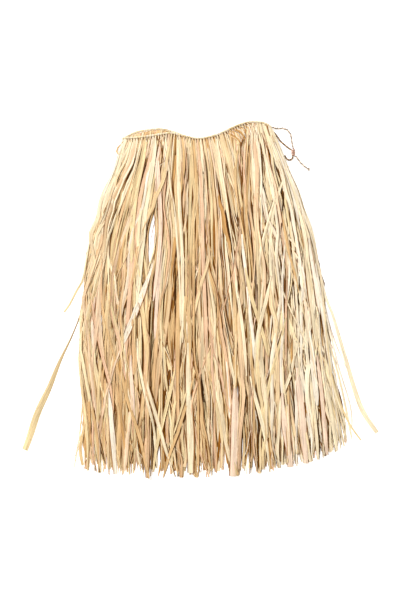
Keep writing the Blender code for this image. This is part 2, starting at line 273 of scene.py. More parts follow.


# %% [markdown]
# ## Smooth routes
#
# The waist, the hem, the ties and the strips that stray all follow smooth
# curves through a few given points. A Catmull-Rom curve passes through each
# of its points, and walking it by the share of its length spaces things evenly
# along it.


# %% Routes
class Route:
    """A smooth curve through a few points, walked by the share of its length."""

    STEPS = 24  # from each point to the next
    NEARBY = 0.004  # the share ahead and behind that gives the direction

    def __init__(self, points):
        knots = np.asarray(points, dtype=float)
        knots = np.vstack([2 * knots[0] - knots[1], knots, 2 * knots[-1] - knots[-2]])
        spans = (knots[:-3], knots[1:-2], knots[2:-1], knots[3:])
        a, b, c, d = (k[:, None, :] for k in spans)
        t = np.linspace(0, 1, self.STEPS, endpoint=False)[None, :, None]
        curve = 0.5 * (
            2 * b
            + (c - a) * t
            + (2 * a - 5 * b + 4 * c - d) * t**2
            + (3 * b - a - 3 * c + d) * t**3
        )
        self.dense = np.vstack([curve.reshape(-1, knots.shape[1]), knots[-2]])
        self.walked = walk(self.dense)
        self.length = self.walked[-1]

    def at(self, share):
        far = np.clip(share, 0.0, 1.0) * self.length
        axes = [np.interp(far, self.walked, axis) for axis in self.dense.T]
        return np.stack(axes, axis=-1)

    def evenly(self, count):
        return self.at(np.linspace(0, 1, count))

    def hemward(self, share):
        """The level direction square to the route, on its right hand."""
        ahead, behind = min(share + self.NEARBY, 1.0), max(share - self.NEARBY, 0.0)
        travel = self.at(ahead) - self.at(behind)
        square = np.array((travel[1], -travel[0]))
        return square / np.linalg.norm(square)


def walk(points):
    """How far along a row of points each one lies."""
    steps = np.linalg.norm(np.diff(points, axis=0), axis=1)
    return np.concatenate([[0.0], np.cumsum(steps)])


def ramp(x):
    """0 to 1, easing in and out."""
    x = np.clip(x, 0.0, 1.0)
    return x * x * (3 - 2 * x)


# %% [markdown]
# ## Twisted twine
#
# The ties are the two ends of the waist cord: two plies of raffia twisted
# together, 4.6 mm thick. A plain tube with a twisted bump would show its round
# outline from the side. So each ply is a real tube that winds round the tie's
# middle line once every 12 mm, and the outline has the notches of a rope. One
# ply is painted in shade, less than half as bright as the other, and the other
# is painted a little lighter, so the twist shows from afar.

# %% Twine
TIE_DIAMETER = 4.6
PLY_SHARE = 0.6  # a ply's radius, as a share of the twine's
# painted light and shade: one ply is darkened as if in shade, the other lightened
PLY_PAINTED_LIGHT_AND_SHADE = ((0.4, 0.5), (1.05, 1.15))
PLY_END = 0.35  # how thick a ply still is at its very end
LUMPS, LUMP_RATES = 0.10, (1.7, 0.61)  # uneven thickness, in radians for each mm
TURN_EVERY = 2.6  # diameters of twine for one turn of its plies
PLY_SIDES = 8
TWINE_STEP = 0.9
NEARLY_UP = (0.03, 0.02, 1.0)


def directions_along(line):
    """Two directions square to a line at each point, without needless twist."""
    travel = np.gradient(line, axis=0)
    travel /= np.linalg.norm(travel, axis=1, keepdims=True)
    side, sides = np.cross(travel[0], NEARLY_UP), []
    for direction in travel:
        side = side - direction * side.dot(direction)
        side = side / np.linalg.norm(side)
        sides.append(side)
    sides = np.array(sides)
    return sides, np.cross(sides, travel)


def add_tube(grids, line, radii, leaf, chance, sides=PLY_SIDES):
    """A closed round tube along a line, with a radius at each point."""
    side, up = directions_along(line)
    around = np.linspace(0, 2 * math.pi, sides, endpoint=False)[None, :, None]
    ring = np.cos(around) * side[:, None, :] + np.sin(around) * up[:, None, :]
    points = line[:, None, :] + ring * radii[:, None, None]
    arc = np.broadcast_to(around[:, :, 0] * radii.mean() * MM, points.shape[:2])
    along = np.broadcast_to((walk(line) * MM)[:, None], points.shape[:2])
    uv = np.stack([arc.ravel(), along.ravel()], axis=1) + chance.uniform(0, 9, 2)
    count = points.shape[0] * sides
    grids.add(points.reshape(-1, 3), tube_quads(len(line), sides), leaf, np.zeros(count), uv)


def add_twine(grids, line, radius, leaf, chance):
    """Winds two plies round a line of points, one in painted shade and one in painted light."""
    walked = walk(line)
    side, up = directions_along(line)
    ply = radius * PLY_SHARE
    to_end = np.minimum(walked, walked[-1] - walked)
    swell = PLY_END + (1 - PLY_END) * np.sqrt(np.clip(to_end / (2.0 * radius), 0.0, 1.0))
    for k, shades in enumerate(PLY_PAINTED_LIGHT_AND_SHADE):
        angle = math.pi * (walked / (TURN_EVERY * radius) + k)
        out = np.cos(angle)[:, None] * side + np.sin(angle)[:, None] * up
        often, seldom = (walked * rate for rate in LUMP_RATES)
        rough = 1 + LUMPS * np.sin(often + 2 * k) * np.sin(seldom + k)
        shade = np.array(leaf) * chance.uniform(*shades)
        add_tube(grids, line + out * (radius - ply), ply * swell * rough, shade, chance)


def twine_piece(name, lines, radii, node, leaf, chance):
    """A piece of twine along one or more lines, in place of a CAD node."""
    grids = Grids()
    for line, radius in zip(lines, radii):
        add_twine(grids, line, radius, leaf, chance)
    piece = grids.make(name, sharp=80)
    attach(piece, "root")
    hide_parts(node)
    return piece


# %% [markdown]
# ## Two knots
#
# A knot is modelled by the way it is tied. The two ties cross and turn round
# each other, so the big knot is a few slanted turns of twine with a strand
# across them. The small one at the long end is an overhand knot, and the middle
# line of an overhand knot is a trefoil.

# %% Knots
KNOT_CENTRE = np.array((223.0, 356.0, 3.7))
KNOT_SIZE = np.array((11.0, 20.0, 7.4))
KNOT_TURNS = 3.4
KNOT_STRAND, ACROSS_STRAND, END_KNOT_STRAND = 1.7, 1.5, 1.5  # radii
END_KNOT_CENTRE = np.array((260.0, 316.0, 3.6))
PALE_TWINE, PINK_TWINE, BROWN_TWINE = linear("DCCAB6"), linear("DCAE94"), linear("AA8860")
twine_chance = np.random.default_rng(5)


def wound_knot():
    """Slanted turns of twine with a strand across them, and their radii."""
    t = np.linspace(0, 1, 110)
    angle = 2 * math.pi * KNOT_TURNS * t
    fat = np.sqrt(np.clip(1 - (1.55 * (t - 0.5)) ** 2, 0.1, 1.0))
    half = KNOT_SIZE / 2 - KNOT_STRAND
    coil = np.stack([
        half[0] * fat * np.cos(angle),
        (2 * t - 1) * half[1] + 1.2 * np.sin(angle),
        half[2] * fat * np.sin(angle),
    ], axis=1)
    across = Route((
        (-1.6, 7.0, 0.6), (-1.0, 3.6, 1.6), (0.3, 0.0, 2.1), (1.2, -3.8, 1.6),
        (0.6, -7.2, 0.2),
    )).evenly(30)
    return [coil + KNOT_CENTRE, across + KNOT_CENTRE], [KNOT_STRAND, ACROSS_STRAND]


def overhand_knot():
    """A small trefoil of thin twine, and its radius."""
    angle = np.linspace(0, 2 * math.pi, 90)
    line = 0.9 * np.stack([
        np.sin(angle) + 2 * np.sin(2 * angle),
        np.cos(angle) - 2 * np.cos(2 * angle),
        -1.2 * np.sin(3 * angle),
    ], axis=1)
    return [line + END_KNOT_CENTRE], [END_KNOT_STRAND]


tie_knot = twine_piece("tied_knot", *wound_knot(), "tie_knot", PINK_TWINE, twine_chance)
end_knot = twine_piece("overhand_knot", *overhand_knot(), "end_knot", PALE_TWINE, twine_chance)

# %% [markdown]
# ## The ties
#
# The routes of the four stretches of twine repeat the CAD model's points, but
# for the short end, which lies a few millimetres higher up. The two ties come
# down from the waist and lie on the table. The upper tie is the paler one, and
# both end in the big knot. Past it, a short end curls back and a long end runs
# out to its own small knot.

# %% Ties
TIE_REST = TIE_DIAMETER / 2 + 0.1
KNOT_TOP = KNOT_CENTRE[1] + KNOT_SIZE[1] / 2 + 0.3
KNOT_BOTTOM = KNOT_CENTRE[1] - KNOT_SIZE[1] / 2 - 0.3

Tie = namedtuple("Tie", "node leaf far_end pieces points")
TIES = (
    Tie("upper_tie", PALE_TWINE, "knot", [tie_knot], (
        (170.8, 416.4, 11.5), (180, 414, 6.5), (190, 414, TIE_REST),
        (199, 414, TIE_REST), (209, 410, TIE_REST), (215, 403, TIE_REST),
        (218, 396, TIE_REST), (219, 386, TIE_REST), (221, 376, TIE_REST + 0.6),
        (223, KNOT_TOP, 3.4),
    )),
    Tie("lower_tie", BROWN_TWINE, "object", [], (
        (167.0, 410.5, 2.8), (174, 406, 2.2), (181, 400, TIE_REST),
        (188, 390, TIE_REST), (194, 382, TIE_REST), (201, 376, TIE_REST),
        (208, 370, TIE_REST), (214, 365.3, TIE_REST + 0.6), (219.7, 363, 3.2),
    )),
    Tie("short_end", BROWN_TWINE, "bare", [], (
        (223, KNOT_BOTTOM + 3, 3.2), (221, 342, TIE_REST), (215.5, 338, TIE_REST),
        (209, 340, TIE_REST), (205, 345, TIE_REST), (203.6, 350, TIE_REST),
    )),
    Tie("long_end", PALE_TWINE, "knot", [end_knot], (
        (225.9, 348.5, 3.4), (232, 344, TIE_REST), (239, 334, TIE_REST),
        (248, 325, TIE_REST), (257, 318, TIE_REST),
    )),
)

for tie in TIES:
    route = Route(tie.points)
    line = route.evenly(round(route.length / TWINE_STEP))
    piece = twine_piece(tie.node + "_twine", [line], [TIE_DIAMETER / 2], tie.node,
                        tie.leaf, twine_chance)
    print(f"{tie.node}: {route.length:.0f} mm of twine")

# %% [markdown]
# ## The outline of the skirt
#
# The skirt is a rough rectangle with four curved sides: the waist, the hem and
# the two outer edges. A Coons patch fills such an outline: it turns a share of
# the way across and a share of the way down into a place on the table. Strips
# are drawn in those shares, so they fan out with the outline by themselves.

# %% Outline
FRONT_WAIST = Route((
    (-181, 390), (-157, 391), (-122, 395), (-84, 401), (-64, 402), (-42, 397),
    (-12, 390), (12, 391), (38, 398), (62, 408), (88, 420), (114, 428),
    (144, 428), (158, 424), (170, 417),
))
BACK_WAIST = Route((
    (-181, 392), (-160, 403), (-136, 409), (-103, 413), (-82, 411), (-60, 405),
    (-36, 396), (-8, 389), (20, 391), (50, 399), (86, 413), (118, 421),
    (146, 420), (166, 411),
))
FOLD_WAIST = Route(((-187.1, 388.8), (-181.3, 391.8)))
LEFT_EDGE = Route((
    (-180, 387), (-202, 322), (-236, 242), (-262, 158), (-274, 79), (-285, -22),
    (-288, -118), (-287, -238), (-289, -322), (-288, -398),
))
RIGHT_EDGE = Route((
    (170, 415), (198, 350), (217, 302), (241, 242), (268, 158), (292, 70),
    (303, -22), (313, -118), (334, -218), (348, -290), (356, -348),
))
HEM = Route((
    (-288, -398), (-240, -412), (-120, -422), (0, -423), (96, -419),
    (173, -407), (247, -391), (319, -368), (356, -348),
))


def on_skirt(waist, across, down):
    """Places between the waist, the hem and both edges: a Coons patch."""
    across, down = np.broadcast_arrays(across, down)
    a, d = across[..., None], down[..., None]
    top = (1 - a) * waist.at(0.0) + a * waist.at(1.0)
    bottom = (1 - a) * HEM.at(0.0) + a * HEM.at(1.0)
    between_edges = (1 - a) * LEFT_EDGE.at(down) + a * RIGHT_EDGE.at(down)
    return (1 - d) * (waist.at(across) - top) + d * (HEM.at(across) - bottom) + between_edges


print(f"waist {FRONT_WAIST.length:.0f} mm, hem {HEM.length:.0f} mm")

# %% [markdown]
# ## One strip
#
# A strip of raffia is thin but stiff: it bridges from one support to the next,
# rolls on edge in places, and is creased or curled lengthwise. So a `Strip`
# holds a middle line on the table, and at each station along it a width, a roll
# and a profile across. Its height isn't known yet: that comes from what it is
# laid on. No two strips are alike, so each draws its own measures from a range.

# %% Leaf colours
LEAVES = {
    "white": linear("FFF4DE"),
    "cream": linear("FCECC8"),
    "straw": linear("F1DAA8"),
    "tan": linear("E1BB85"),
    "pink": linear("EFC8A4"),
    "blush": linear("F8DEC4"),
    "honey": linear("CD9C5C"),
    "brown": linear("96601E"),
    # dark and shade serve mostly as painted shade, for strips laid where the skirt is in shade
    "dark": linear("724611"),
    "shade": linear("4A2E0C"),
}
print("leaf colours:", ", ".join(LEAVES))

# %% Strip
LEAF_THICKNESS = 0.28
STATION_EVERY = 20.0
ONE_SWING = (0.7, 1.3)  # how far a swing's number of turns may be off

# How many turns a slow swing makes from the hitch to the tip, and how wide.
ROLL_TURNS, ROLL_SWINGS = (0.8, 2.1, 4.3), (0.6, 0.5, 0.3)
WIDTH_TURNS, WIDTH_SWINGS = (0.9, 2.4, 5.0), (0.32, 0.2, 0.08)
PATCH_TURNS, PATCH_SWINGS = (3.0, 7.0), (0.04, 0.03)

FLAT_ROOT = 60  # a strip doesn't roll at its hitch, but this far down it may
CLOSED = 4  # how far down a strip is still pinched by its hitch
OPENS_WITHIN, TAPERS_WITHIN = (18, 80), (12, 120)
CUT_TIP = (0.05, 0.9)  # the width of the very tip, as a share
CREASE, CURL, UNEVEN = (0.0, 0.22), (-0.05, 0.12), (-0.04, 0.04)  # shares of the width
TORN_AND_SHADED_EDGES = (-0.4, 0.12)  # how brown each torn edge is, with its painted shade, as a change from half brown
RESTS = 0.02  # how far a strip lies above its support

# Pinch is how far a strip is open at its hitch, waver how much its width comes
# and goes, tilt how much it rolls on its way down in radians, relief how deeply
# it is creased, and rails how many points it has across.
Kind = namedtuple("Kind", "leaves width pinch waver tilt relief rails")


class Strip:
    """A raffia strip, before it is laid."""

    def __init__(self, route, width, leaf, chance, kind, blunt=None):
        self.length = walk(route)[-1]
        self.shares = np.linspace(0, 1, max(6, round(self.length / STATION_EVERY)))
        known = np.linspace(0, 1, len(route))
        axes = [np.interp(self.shares, known, axis) for axis in route.T]
        self.middle = np.stack(axes, axis=1)
        self.width = width * self.opening(chance, kind, blunt)
        self.leaf = self.colouring(leaf, chance)
        self.torn_and_shaded = chance.uniform(*TORN_AND_SHADED_EDGES, 2)
        self.lift = RESTS
        self.rails = np.linspace(-1, 1, kind.rails)
        self.profile = self.fold(chance) * kind.relief
        self.roll = self.wave(chance, ROLL_TURNS, ROLL_SWINGS) * kind.tilt
        self.roll *= ramp(self.shares * self.length / FLAT_ROOT)

    def wave(self, chance, turns, swings):
        """A slow swing of a strip's measure as one goes along it."""
        total = 0.0
        for often, swing in zip(turns, swings):
            turned = often * chance.uniform(*ONE_SWING) * self.shares + chance.random()
            total = total + swing * np.sin(2 * math.pi * turned)
        return total

    def colouring(self, leaf, chance):
        """The leaf's colour at each station, from its hitch to its tip."""
        ends = np.atleast_2d(leaf)
        tanned = ramp(self.shares * 1.2 + chance.normal(0, 0.2))[:, None]
        patches = 1 + self.wave(chance, PATCH_TURNS, PATCH_SWINGS)[:, None]
        return (ends[0] * (1 - tanned) + ends[-1] * tanned) * patches

    def opening(self, chance, kind, blunt):
        """How far the strip is open: pinched at its hitch, and cut at its tip."""
        far = self.shares * self.length
        opened = ramp((far - CLOSED) / chance.uniform(*OPENS_WITHIN))
        root = kind.pinch + (1 - kind.pinch) * opened
        wave = 1 + kind.waver * self.wave(chance, WIDTH_TURNS, WIDTH_SWINGS)
        blunt = chance.uniform(*CUT_TIP) if blunt is None else blunt
        tapered = ramp((self.length - far) / chance.uniform(*TAPERS_WITHIN))
        tip = blunt + (1 - blunt) * tapered
        return root * np.clip(wave, 0.25, 2.0) * tip

    def fold(self, chance):
        """Heights across the strip, in shares of its width, from edge to edge."""
        crease = chance.uniform(*CREASE) * (1 - np.abs(self.rails))
        curl = chance.uniform(*CURL) * self.rails**2
        uneven = chance.uniform(*UNEVEN, len(self.rails))
        across = crease + curl + uneven
        return across - across.min()


print(f"a station every {STATION_EVERY:.0f} mm, and leaf {LEAF_THICKNESS} mm thick")

# %% [markdown]
# ## Laying strips on a heap
#
# The table is divided into cells of 2 mm, and each cell remembers how high the
# raffia there has risen. A strip is laid like this: look up the heights under
# its two edges and its middle, lean it to fit them, take the highest support
# within its stiffness, and smooth that along its length. It then rests on the
# high points and bridges the gaps. Last, it raises the cells under it. The
# strips above press it down, so its creases count for only a quarter there.

# %% Heap
CELL = 2.0
HALF_TABLE = 470.0
BRIDGE = 8  # cells to each side that a strip bridges
MOST_LEAN = math.radians(22)
PRESSED = 0.25  # how much of a crease is left under the strips above
SAG = 0.6  # 0 lies on the highest support, 1 on the mean of all three
ON_EDGE = 0.8  # how much of its half width a strip stands up where it rolls
LEAST_COVER = 0.2  # the share of its width that a strip on edge still covers
HITCH_REACH = 45.0  # how far down a hitch still holds its strips at its height


class Heap:
    """The height of the raffia laid so far, over the table."""

    def __init__(self):
        cells = int(2 * HALF_TABLE / CELL)
        self.height = np.zeros((cells, cells))

    def cells(self, xy):
        index = ((xy + HALF_TABLE) / CELL).astype(int)
        index = np.clip(index, 0, self.height.shape[0] - 1)
        return index[..., 0], index[..., 1]

    def windows(self, values, reach=BRIDGE):
        padded = np.pad(values, reach, mode="edge")
        return np.lib.stride_tricks.sliding_window_view(padded, 2 * reach + 1)

    def lay(self, strip, root_height=None):
        """Finds the strip's height and lean, and lets it raise the heap."""
        fine = np.linspace(0, 1, max(8, int(strip.length / CELL)))
        xy = np.stack([np.interp(fine, strip.shares, axis) for axis in strip.middle.T], axis=1)
        width = np.interp(fine, strip.shares, strip.width)
        roll = np.interp(fine, strip.shares, strip.roll)
        travel = np.gradient(xy, axis=0)
        side = np.stack([-travel[:, 1], travel[:, 0]], axis=1)
        side /= np.maximum(np.linalg.norm(side, axis=1, keepdims=True), 1e-9)
        half = width / 2 * np.maximum(np.abs(np.cos(roll)), LEAST_COVER)
        left, under, right = (
            self.height[self.cells(xy + side * (half * k)[:, None])] for k in (-1, 0, 1)
        )
        most = half * math.tan(MOST_LEAN)
        lean = self.windows(np.clip((right - left) / 2, -most, most)).mean(axis=1)
        highest = np.maximum(np.maximum(left + lean, under), right - lean)
        floor = SAG * (left + under + right) / 3 + (1 - SAG) * highest
        base = self.windows(self.windows(floor, 1).max(axis=1)).mean(axis=1) + strip.lift
        if root_height is not None:
            near = 1 - ramp(fine * strip.length / HITCH_REACH)
            base = base * (1 - near) + root_height * near
        lifted = base + ON_EDGE * np.abs(np.sin(roll)) * width / 2
        strip.base = np.interp(strip.shares, fine, lifted)
        strip.lean = np.interp(strip.shares, fine, np.arctan2(lean, np.maximum(half, 0.3)))
        strip.side = np.stack([np.interp(strip.shares, fine, axis) for axis in side.T], axis=1)
        for k in np.linspace(-1, 1, 5):
            rise = PRESSED * np.interp(k, strip.rails, strip.profile) * width
            top = base + k * lean + rise + LEAF_THICKNESS
            np.maximum.at(self.height, self.cells(xy + side * (half * k)[:, None]), top)


heap = Heap()
print("cells over the table:", heap.height.shape)

# %% [markdown]
# ## From a laid strip to a ribbon
#
# Once its height is known, a strip becomes a closed ribbon 0.28 mm thick: a top
# and an underside with the same profile, joined along both edges and both ends.
# Real leaf is thinner, but a closed ribbon is a solid form from every side.


# %% Ribbon
OFF_TABLE = 0.04  # the least height of a ribbon over the table


def add_ribbon(grids, strip, chance):
    """Turns a strip that has been laid into a thin closed ribbon."""
    roll = (strip.roll + strip.lean)[:, None]
    out = strip.width[:, None] / 2 * strip.rails[None, :]
    rise = strip.profile[None, :] * strip.width[:, None]
    across = out * np.cos(roll) - rise * np.sin(roll)
    up = out * np.sin(roll) + rise * np.cos(roll)
    side = strip.side / np.linalg.norm(strip.side, axis=1, keepdims=True)
    points = np.empty((len(strip.shares), 2, len(strip.rails), 3))
    for layer, shift in enumerate((LEAF_THICKNESS, 0.0)):
        level = (across - shift * np.sin(roll))[:, :, None] * side[:, None, :]
        points[:, layer, :, :2] = strip.middle[:, None, :] + level
        points[:, layer, :, 2] = strip.base[:, None] + up + shift * np.cos(roll)
    points[..., 2] = np.maximum(points[..., 2], OFF_TABLE)
    # brown edges, partly torn leaf and partly painted shade
    torn_and_shaded = np.where(strip.rails > 0, *strip.torn_and_shaded) + np.abs(strip.rails)
    edge = np.broadcast_to(torn_and_shaded, points.shape[:3]).ravel()
    u = np.broadcast_to((out * MM)[:, None, :], points.shape[:3]).ravel()
    v = np.broadcast_to((strip.shares * strip.length * MM)[:, None, None], points.shape[:3])
    uv = np.stack([u, v.ravel()], axis=1) + chance.uniform(0, 5, 2)
    quads = ribbon_quads(len(strip.shares), len(strip.rails))
    leaf = np.repeat(strip.leaf, 2 * len(strip.rails), axis=0)
    grids.add(points.reshape(-1, 3), quads, leaf, edge, uv)


def ribbon_quads(stations, rails):
    """The quads of a ribbon's top, underside, edges and ends."""
    number = np.arange(stations * 2 * rails).reshape(stations, 2, rails)
    top, under = number[:, 0], number[:, 1]
    faces = [
        (top[1:, :-1], top[1:, 1:], top[:-1, 1:], top[:-1, :-1]),
        (under[:-1, :-1], under[:-1, 1:], under[1:, 1:], under[1:, :-1]),
        (top[:-1, 0], under[:-1, 0], under[1:, 0], top[1:, 0]),
        (top[1:, -1], under[1:, -1], under[:-1, -1], top[:-1, -1]),
        (top[0, 1:], under[0, 1:], under[0, :-1], top[0, :-1]),
        (top[-1, :-1], under[-1, :-1], under[-1, 1:], top[-1, 1:]),
    ]
    return np.vstack([np.stack(face, axis=-1).reshape(-1, 4) for face in faces])


# %% [markdown]
# ## A layer of strips
#
# Each layer of strips is one piece, which replaces the solid of its node. It is
# loose fibre.


# %% Layers
def lay_all(name, strips, heap, chance, root_height, node):
    """Lays strips on the heap in order, and makes one piece of them."""
    grids = Grids()
    for strip in strips:
        heap.lay(strip, root_height)
        add_ribbon(grids, strip, chance)
    piece = grids.make(name)
    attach(piece, "root")
    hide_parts(node)
    print(f"{name}: {len(strips)} strips, heap {heap.height.max():.1f} mm high")


# %% [markdown]
# ## Partings
#
# Strips lie together in locks, and between the locks are long narrow gaps,
# pointed at both ends. Through the deepest ones the table shows. The others
# end on dark strips, painted shade in place of the shaded lower passes. Each row
# of the tables below is one gap: half its width, and two or three points down its
# middle. It pushes the strips near it aside, most at its middle.

# %% Partings
PUSH_REACH = 9.0  # how far a gap's push reaches, in its half widths
MISSES_BY = 12  # a strip that is this much farther away isn't touched
GAP_OPEN, STRIP_CLEAR = 0.7, 0.42  # shares of the gap's half and the strip's full width
STAYS_PUT = 9.0  # a strip that crosses a narrow gap by more than this stays put
NARROW_GAP = 3.5
TURNS_BACK = 80  # how far past the gap's ends a crossing strip is back in its place

THROUGH = (
    (8.5, ((-110, 216), (-114, 150), (-126, 74))),
    (4.5, ((92, -190), (92, -280))),
    (4.0, ((101, -280), (101, -395))),
    (3.2, ((115, -350), (119, -440))),
    (2.8, ((127, -365), (131, -435))),
    (2.0, ((60, -380), (62, -440))),
    (2.2, ((168, -365), (171, -430))),
    (2.0, ((-152, -380), (-153, -440))),
    (2.0, ((-30, -395), (-30, -440))),
)
DARK = (
    (2.2, ((-96, 378), (-101, 330))), (2.6, ((-94, 340), (-94, 235))),
    (2.6, ((-74, 280), (-76, 120))), (2.8, ((-58, 396), (-55, 285))),
    (2.8, ((-14, 215), (-17, 45))), (2.2, ((-32, 190), (-31, 95))),
    (1.6, ((96, 384), (97, 295))), (2.6, ((132, 402), (154, 331), (176, 205))),
    (2.0, ((137, 408), (174, 348))), (2.6, ((114, 292), (113, 245))),
    (2.2, ((116, 235), (114, 178))), (3.2, ((201, 268), (193, 145))),
    (2.2, ((183, 232), (178, 155))), (3.0, ((57, 310), (74, 206), (88, 80))),
    (2.8, ((-59, 125), (-59, -85))), (2.6, ((-41, -75), (-41, -190))),
    (2.4, ((-188, 258), (-223, 135))), (2.4, ((-239, 216), (-246, 130))),
    (2.2, ((-197, 294), (-216, 238))), (2.6, ((43, 105), (41, 15))),
    (2.4, ((38, 25), (38, -56))), (2.6, ((59, 158), (62, 78))),
    (2.2, ((65, 118), (97, 12))), (2.4, ((91, 60), (91, -12))),
    (2.6, ((158, 18), (163, -76))), (2.8, ((156, -84), (154, -195))),
    (2.6, ((191, 112), (190, 45))), (2.4, ((185, 40), (185, -40))),
    (2.6, ((238, 60), (233, -17))), (2.8, ((253, -64), (267, -188))),
    (2.8, ((-86, -232), (-84, -315))), (2.6, ((-65, -215), (-67, -350))),
    (2.4, ((-36, -288), (-38, -368))), (4.0, ((35, -235), (31, -325))),
    (2.8, ((137, -218), (139, -412))), (2.6, ((154, -170), (154, -243))),
    (2.2, ((203, -165), (217, -252))), (2.6, ((258, -288), (265, -385))),
    (2.2, ((-250, 132), (-254, 16))), (2.2, ((-226, 104), (-233, -8))),
    (2.2, ((-197, -60), (-202, -132))), (2.2, ((-161, 132), (-168, 52))),
    (2.4, ((-125, 22), (-127, -36))), (2.2, ((-96, -60), (-98, -152))),
    (2.2, ((0, 12), (0, -68))), (2.4, ((14, -84), (12, -180))),
    (2.4, ((115, -60), (120, -132))), (2.4, ((-161, -112), (-163, -195))),
    (2.2, ((-211, -216), (-214, -296))), (2.4, ((-8, -26), (-10, -123))),
    (2.2, ((-112, 334), (-126, 256))),
)
print(len(THROUGH), "gaps to the table,", len(DARK), "dark gaps")


def small_partings(count, chance):
    """Thin gaps all over the front, in line with the strips around them."""
    rows = []
    for _ in range(count):
        across = chance.uniform(0.02, 0.98) + chance.normal(0, 0.006, 2)
        down = chance.uniform(0.08, 0.95) + chance.uniform(0.04, 0.17) * np.array((-0.5, 0.5))
        ends = on_skirt(FRONT_WAIST, across, down)
        rows.append((chance.uniform(0.6, 1.6), tuple(map(tuple, ends))))
    return tuple(rows)


def parted(route, partings, width):
    """The route of a strip, pushed aside by each parting that it meets."""
    for widest, points in partings:
        x, y = np.array(points, dtype=float).T
        reach = PUSH_REACH * widest + width / 2
        near = np.interp(-(y[0] + y[-1]) / 2, -route[:, 1], route[:, 0])
        if abs(near - x.mean()) > reach + MISSES_BY:
            continue
        down = (y[0] - route[:, 1]) / (y[0] - y[-1])
        opening = GAP_OPEN * widest + STRIP_CLEAR * width
        opening = opening * np.sin(math.pi * np.clip(down, 0, 1)) ** 0.8
        away = route[:, 0] - np.interp(-route[:, 1], -y, x)
        if opening.sum() < 1e-6 or np.abs(away[opening > 0]).min() > reach:
            continue
        turn = 1.0 if (away * opening).sum() > 0 else -1.0
        if widest < NARROW_GAP and (turn * away)[opening > 0].min() < -STAYS_PUT:
            continue
        gap = np.clip(turn * away, 0, None)
        pushed = np.where(gap < reach, opening + gap * (reach - opening) / reach, gap)
        crossing = turn * away < 0
        beyond = np.abs(down - np.clip(down, 0, 1)) * (y[0] - y[-1])
        back = turn * away * ramp(beyond / TURNS_BACK)
        moved = np.where(crossing & (opening <= 0), back, pushed)
        route[:, 0] += turn * moved - away
    return route


# %% [markdown]
# ## Bundles, locks and drift
#
# Every hitch holds one bundle of strips. Farther down, strips of a few
# neighbouring bundles lie together in locks, with gaps between the locks. On
# top of that each strip wanders a little, and a few cross many of their
# neighbours. All three move a strip by a share of the skirt's width, and they
# grow on the way down.
#
# The kinds of strip differ by where they lie. The lower ones are wide and
# plain, as little of them shows, and dark: painted shade for the depth below
# the upper strips. The upper ones are pale, narrow and creased. Each kind has
# its leaf colours with their odds, but for the lone strips and the painted
# shadows along strip edges, whose colours and widths are chosen where they are
# made.

# %% Kinds of strip
BACKING = Kind({"tan": 3, "pink": 2, "straw": 3}, 9.0, 1.0, 0.5, 0.0, 0.2, 3)
# painted shade: the lowest and inner passes are dark brown, for the shade deep among the strips
LOWEST = Kind({"dark": 1, "brown": 3, "honey": 3}, 9.0, 1.0, 0.5, 0.0, 0.2, 3)
INNER = Kind({"brown": 2, "honey": 4, "tan": 3, "dark": 1}, 6.0, 0.6, 1.0, 0.2, 0.4, 3)
MIDDLE = Kind({"honey": 3, "tan": 5, "straw": 3}, 5.4, 0.4, 1.0, 0.45, 0.8, 3)
OUTER = Kind({"white": 1, "cream": 5, "straw": 6, "tan": 3, "pink": 3}, 5.6, 0.4, 1.0, 0.5, 1.0, 5)
PALE = Kind({"white": 3, "cream": 7, "straw": 3}, 5.6, 0.4, 1.0, 0.5, 1.0, 5)
SPLIT = Kind({"cream": 4, "straw": 5, "tan": 5, "pink": 3, "honey": 2}, 3.2, 0.1, 1.0, 0.5, 0.9, 3)
LONE = Kind({}, 1.0, 0.4, 0.2, 0.1, 0.9, 5)
FIBRE = Kind({"straw": 4, "honey": 3, "brown": 2}, 1.4, 1.0, 0.5, 0.0, 0.2, 3)
# the kind of the painted shadows beside strips
SHADOW_EDGE = Kind({}, 4.0, 0.1, 1.8, 0.0, 0.1, 3)
HIDDEN = (BACKING, LOWEST, INNER)  # under the others, so a little shorter and farther in
STRAIGHT = (BACKING, LOWEST)
print("mean widths:", *(kind.width for kind in (BACKING, LOWEST, INNER, MIDDLE, OUTER, SPLIT)))

# %% Runs of hitches
LOCK_SIZES = (1, 1, 2, 2, 3)
LOCK_LEAN = 5.0  # how far the stretches of a lock lean, in degrees
OWN_LEAN = 2.6  # and those of a strip in its lock
CROSSING = 0.11  # the share of strips that cross many others
OWN_CROSSING = 7.0
BENDS = 2  # slight bends in a strip between its hitch and its tip
COMES_BACK = 0.9  # how much of a lean the next stretch undoes
LONG_TO_WIDE = 800 / 640  # the skirt's length to its width, as one share is to the other
FANS_OUT_BY = 0.32  # the share of the way down where the strips have spread
LEANS_FROM = 0.4  # the share of the way down where they lean in full
T = np.linspace(0, 1, 64)

# A stretch of the waist, and where on the hem its strips spread to.
Run = namedtuple("Run", "waist first last from_share to_share hitches")


def fan_share(run, hitch):
    """Where a hitch's strips end, as a share of the way across the hem."""
    return run.from_share + (run.to_share - run.from_share) * hitch / run.hitches


def locks_of(count, chance):
    """The hitches in groups, each of which is one lock."""
    locks, start = [], 0
    while start < count:
        size = min(int(chance.choice(LOCK_SIZES)), count - start)
        locks.append(np.arange(start, start + size))
        start += size
    return locks


def wander(chance, degrees):
    """Straight stretches that lean to either side, as a share across."""
    bends = np.sort(chance.uniform(0.1, 0.9, BENDS))
    leans = np.radians(chance.normal(0, degrees, BENDS + 1))
    leans[1:] -= COMES_BACK * leans[:-1]
    lean = leans[0] + sum(
        change * ramp((T - bend) / 0.2 + 0.5) for bend, change in zip(bends, np.diff(leans))
    )
    slope = np.tan(lean) * LONG_TO_WIDE * ramp(T / LEANS_FROM)
    return np.cumsum(slope) * (T[1] - T[0])


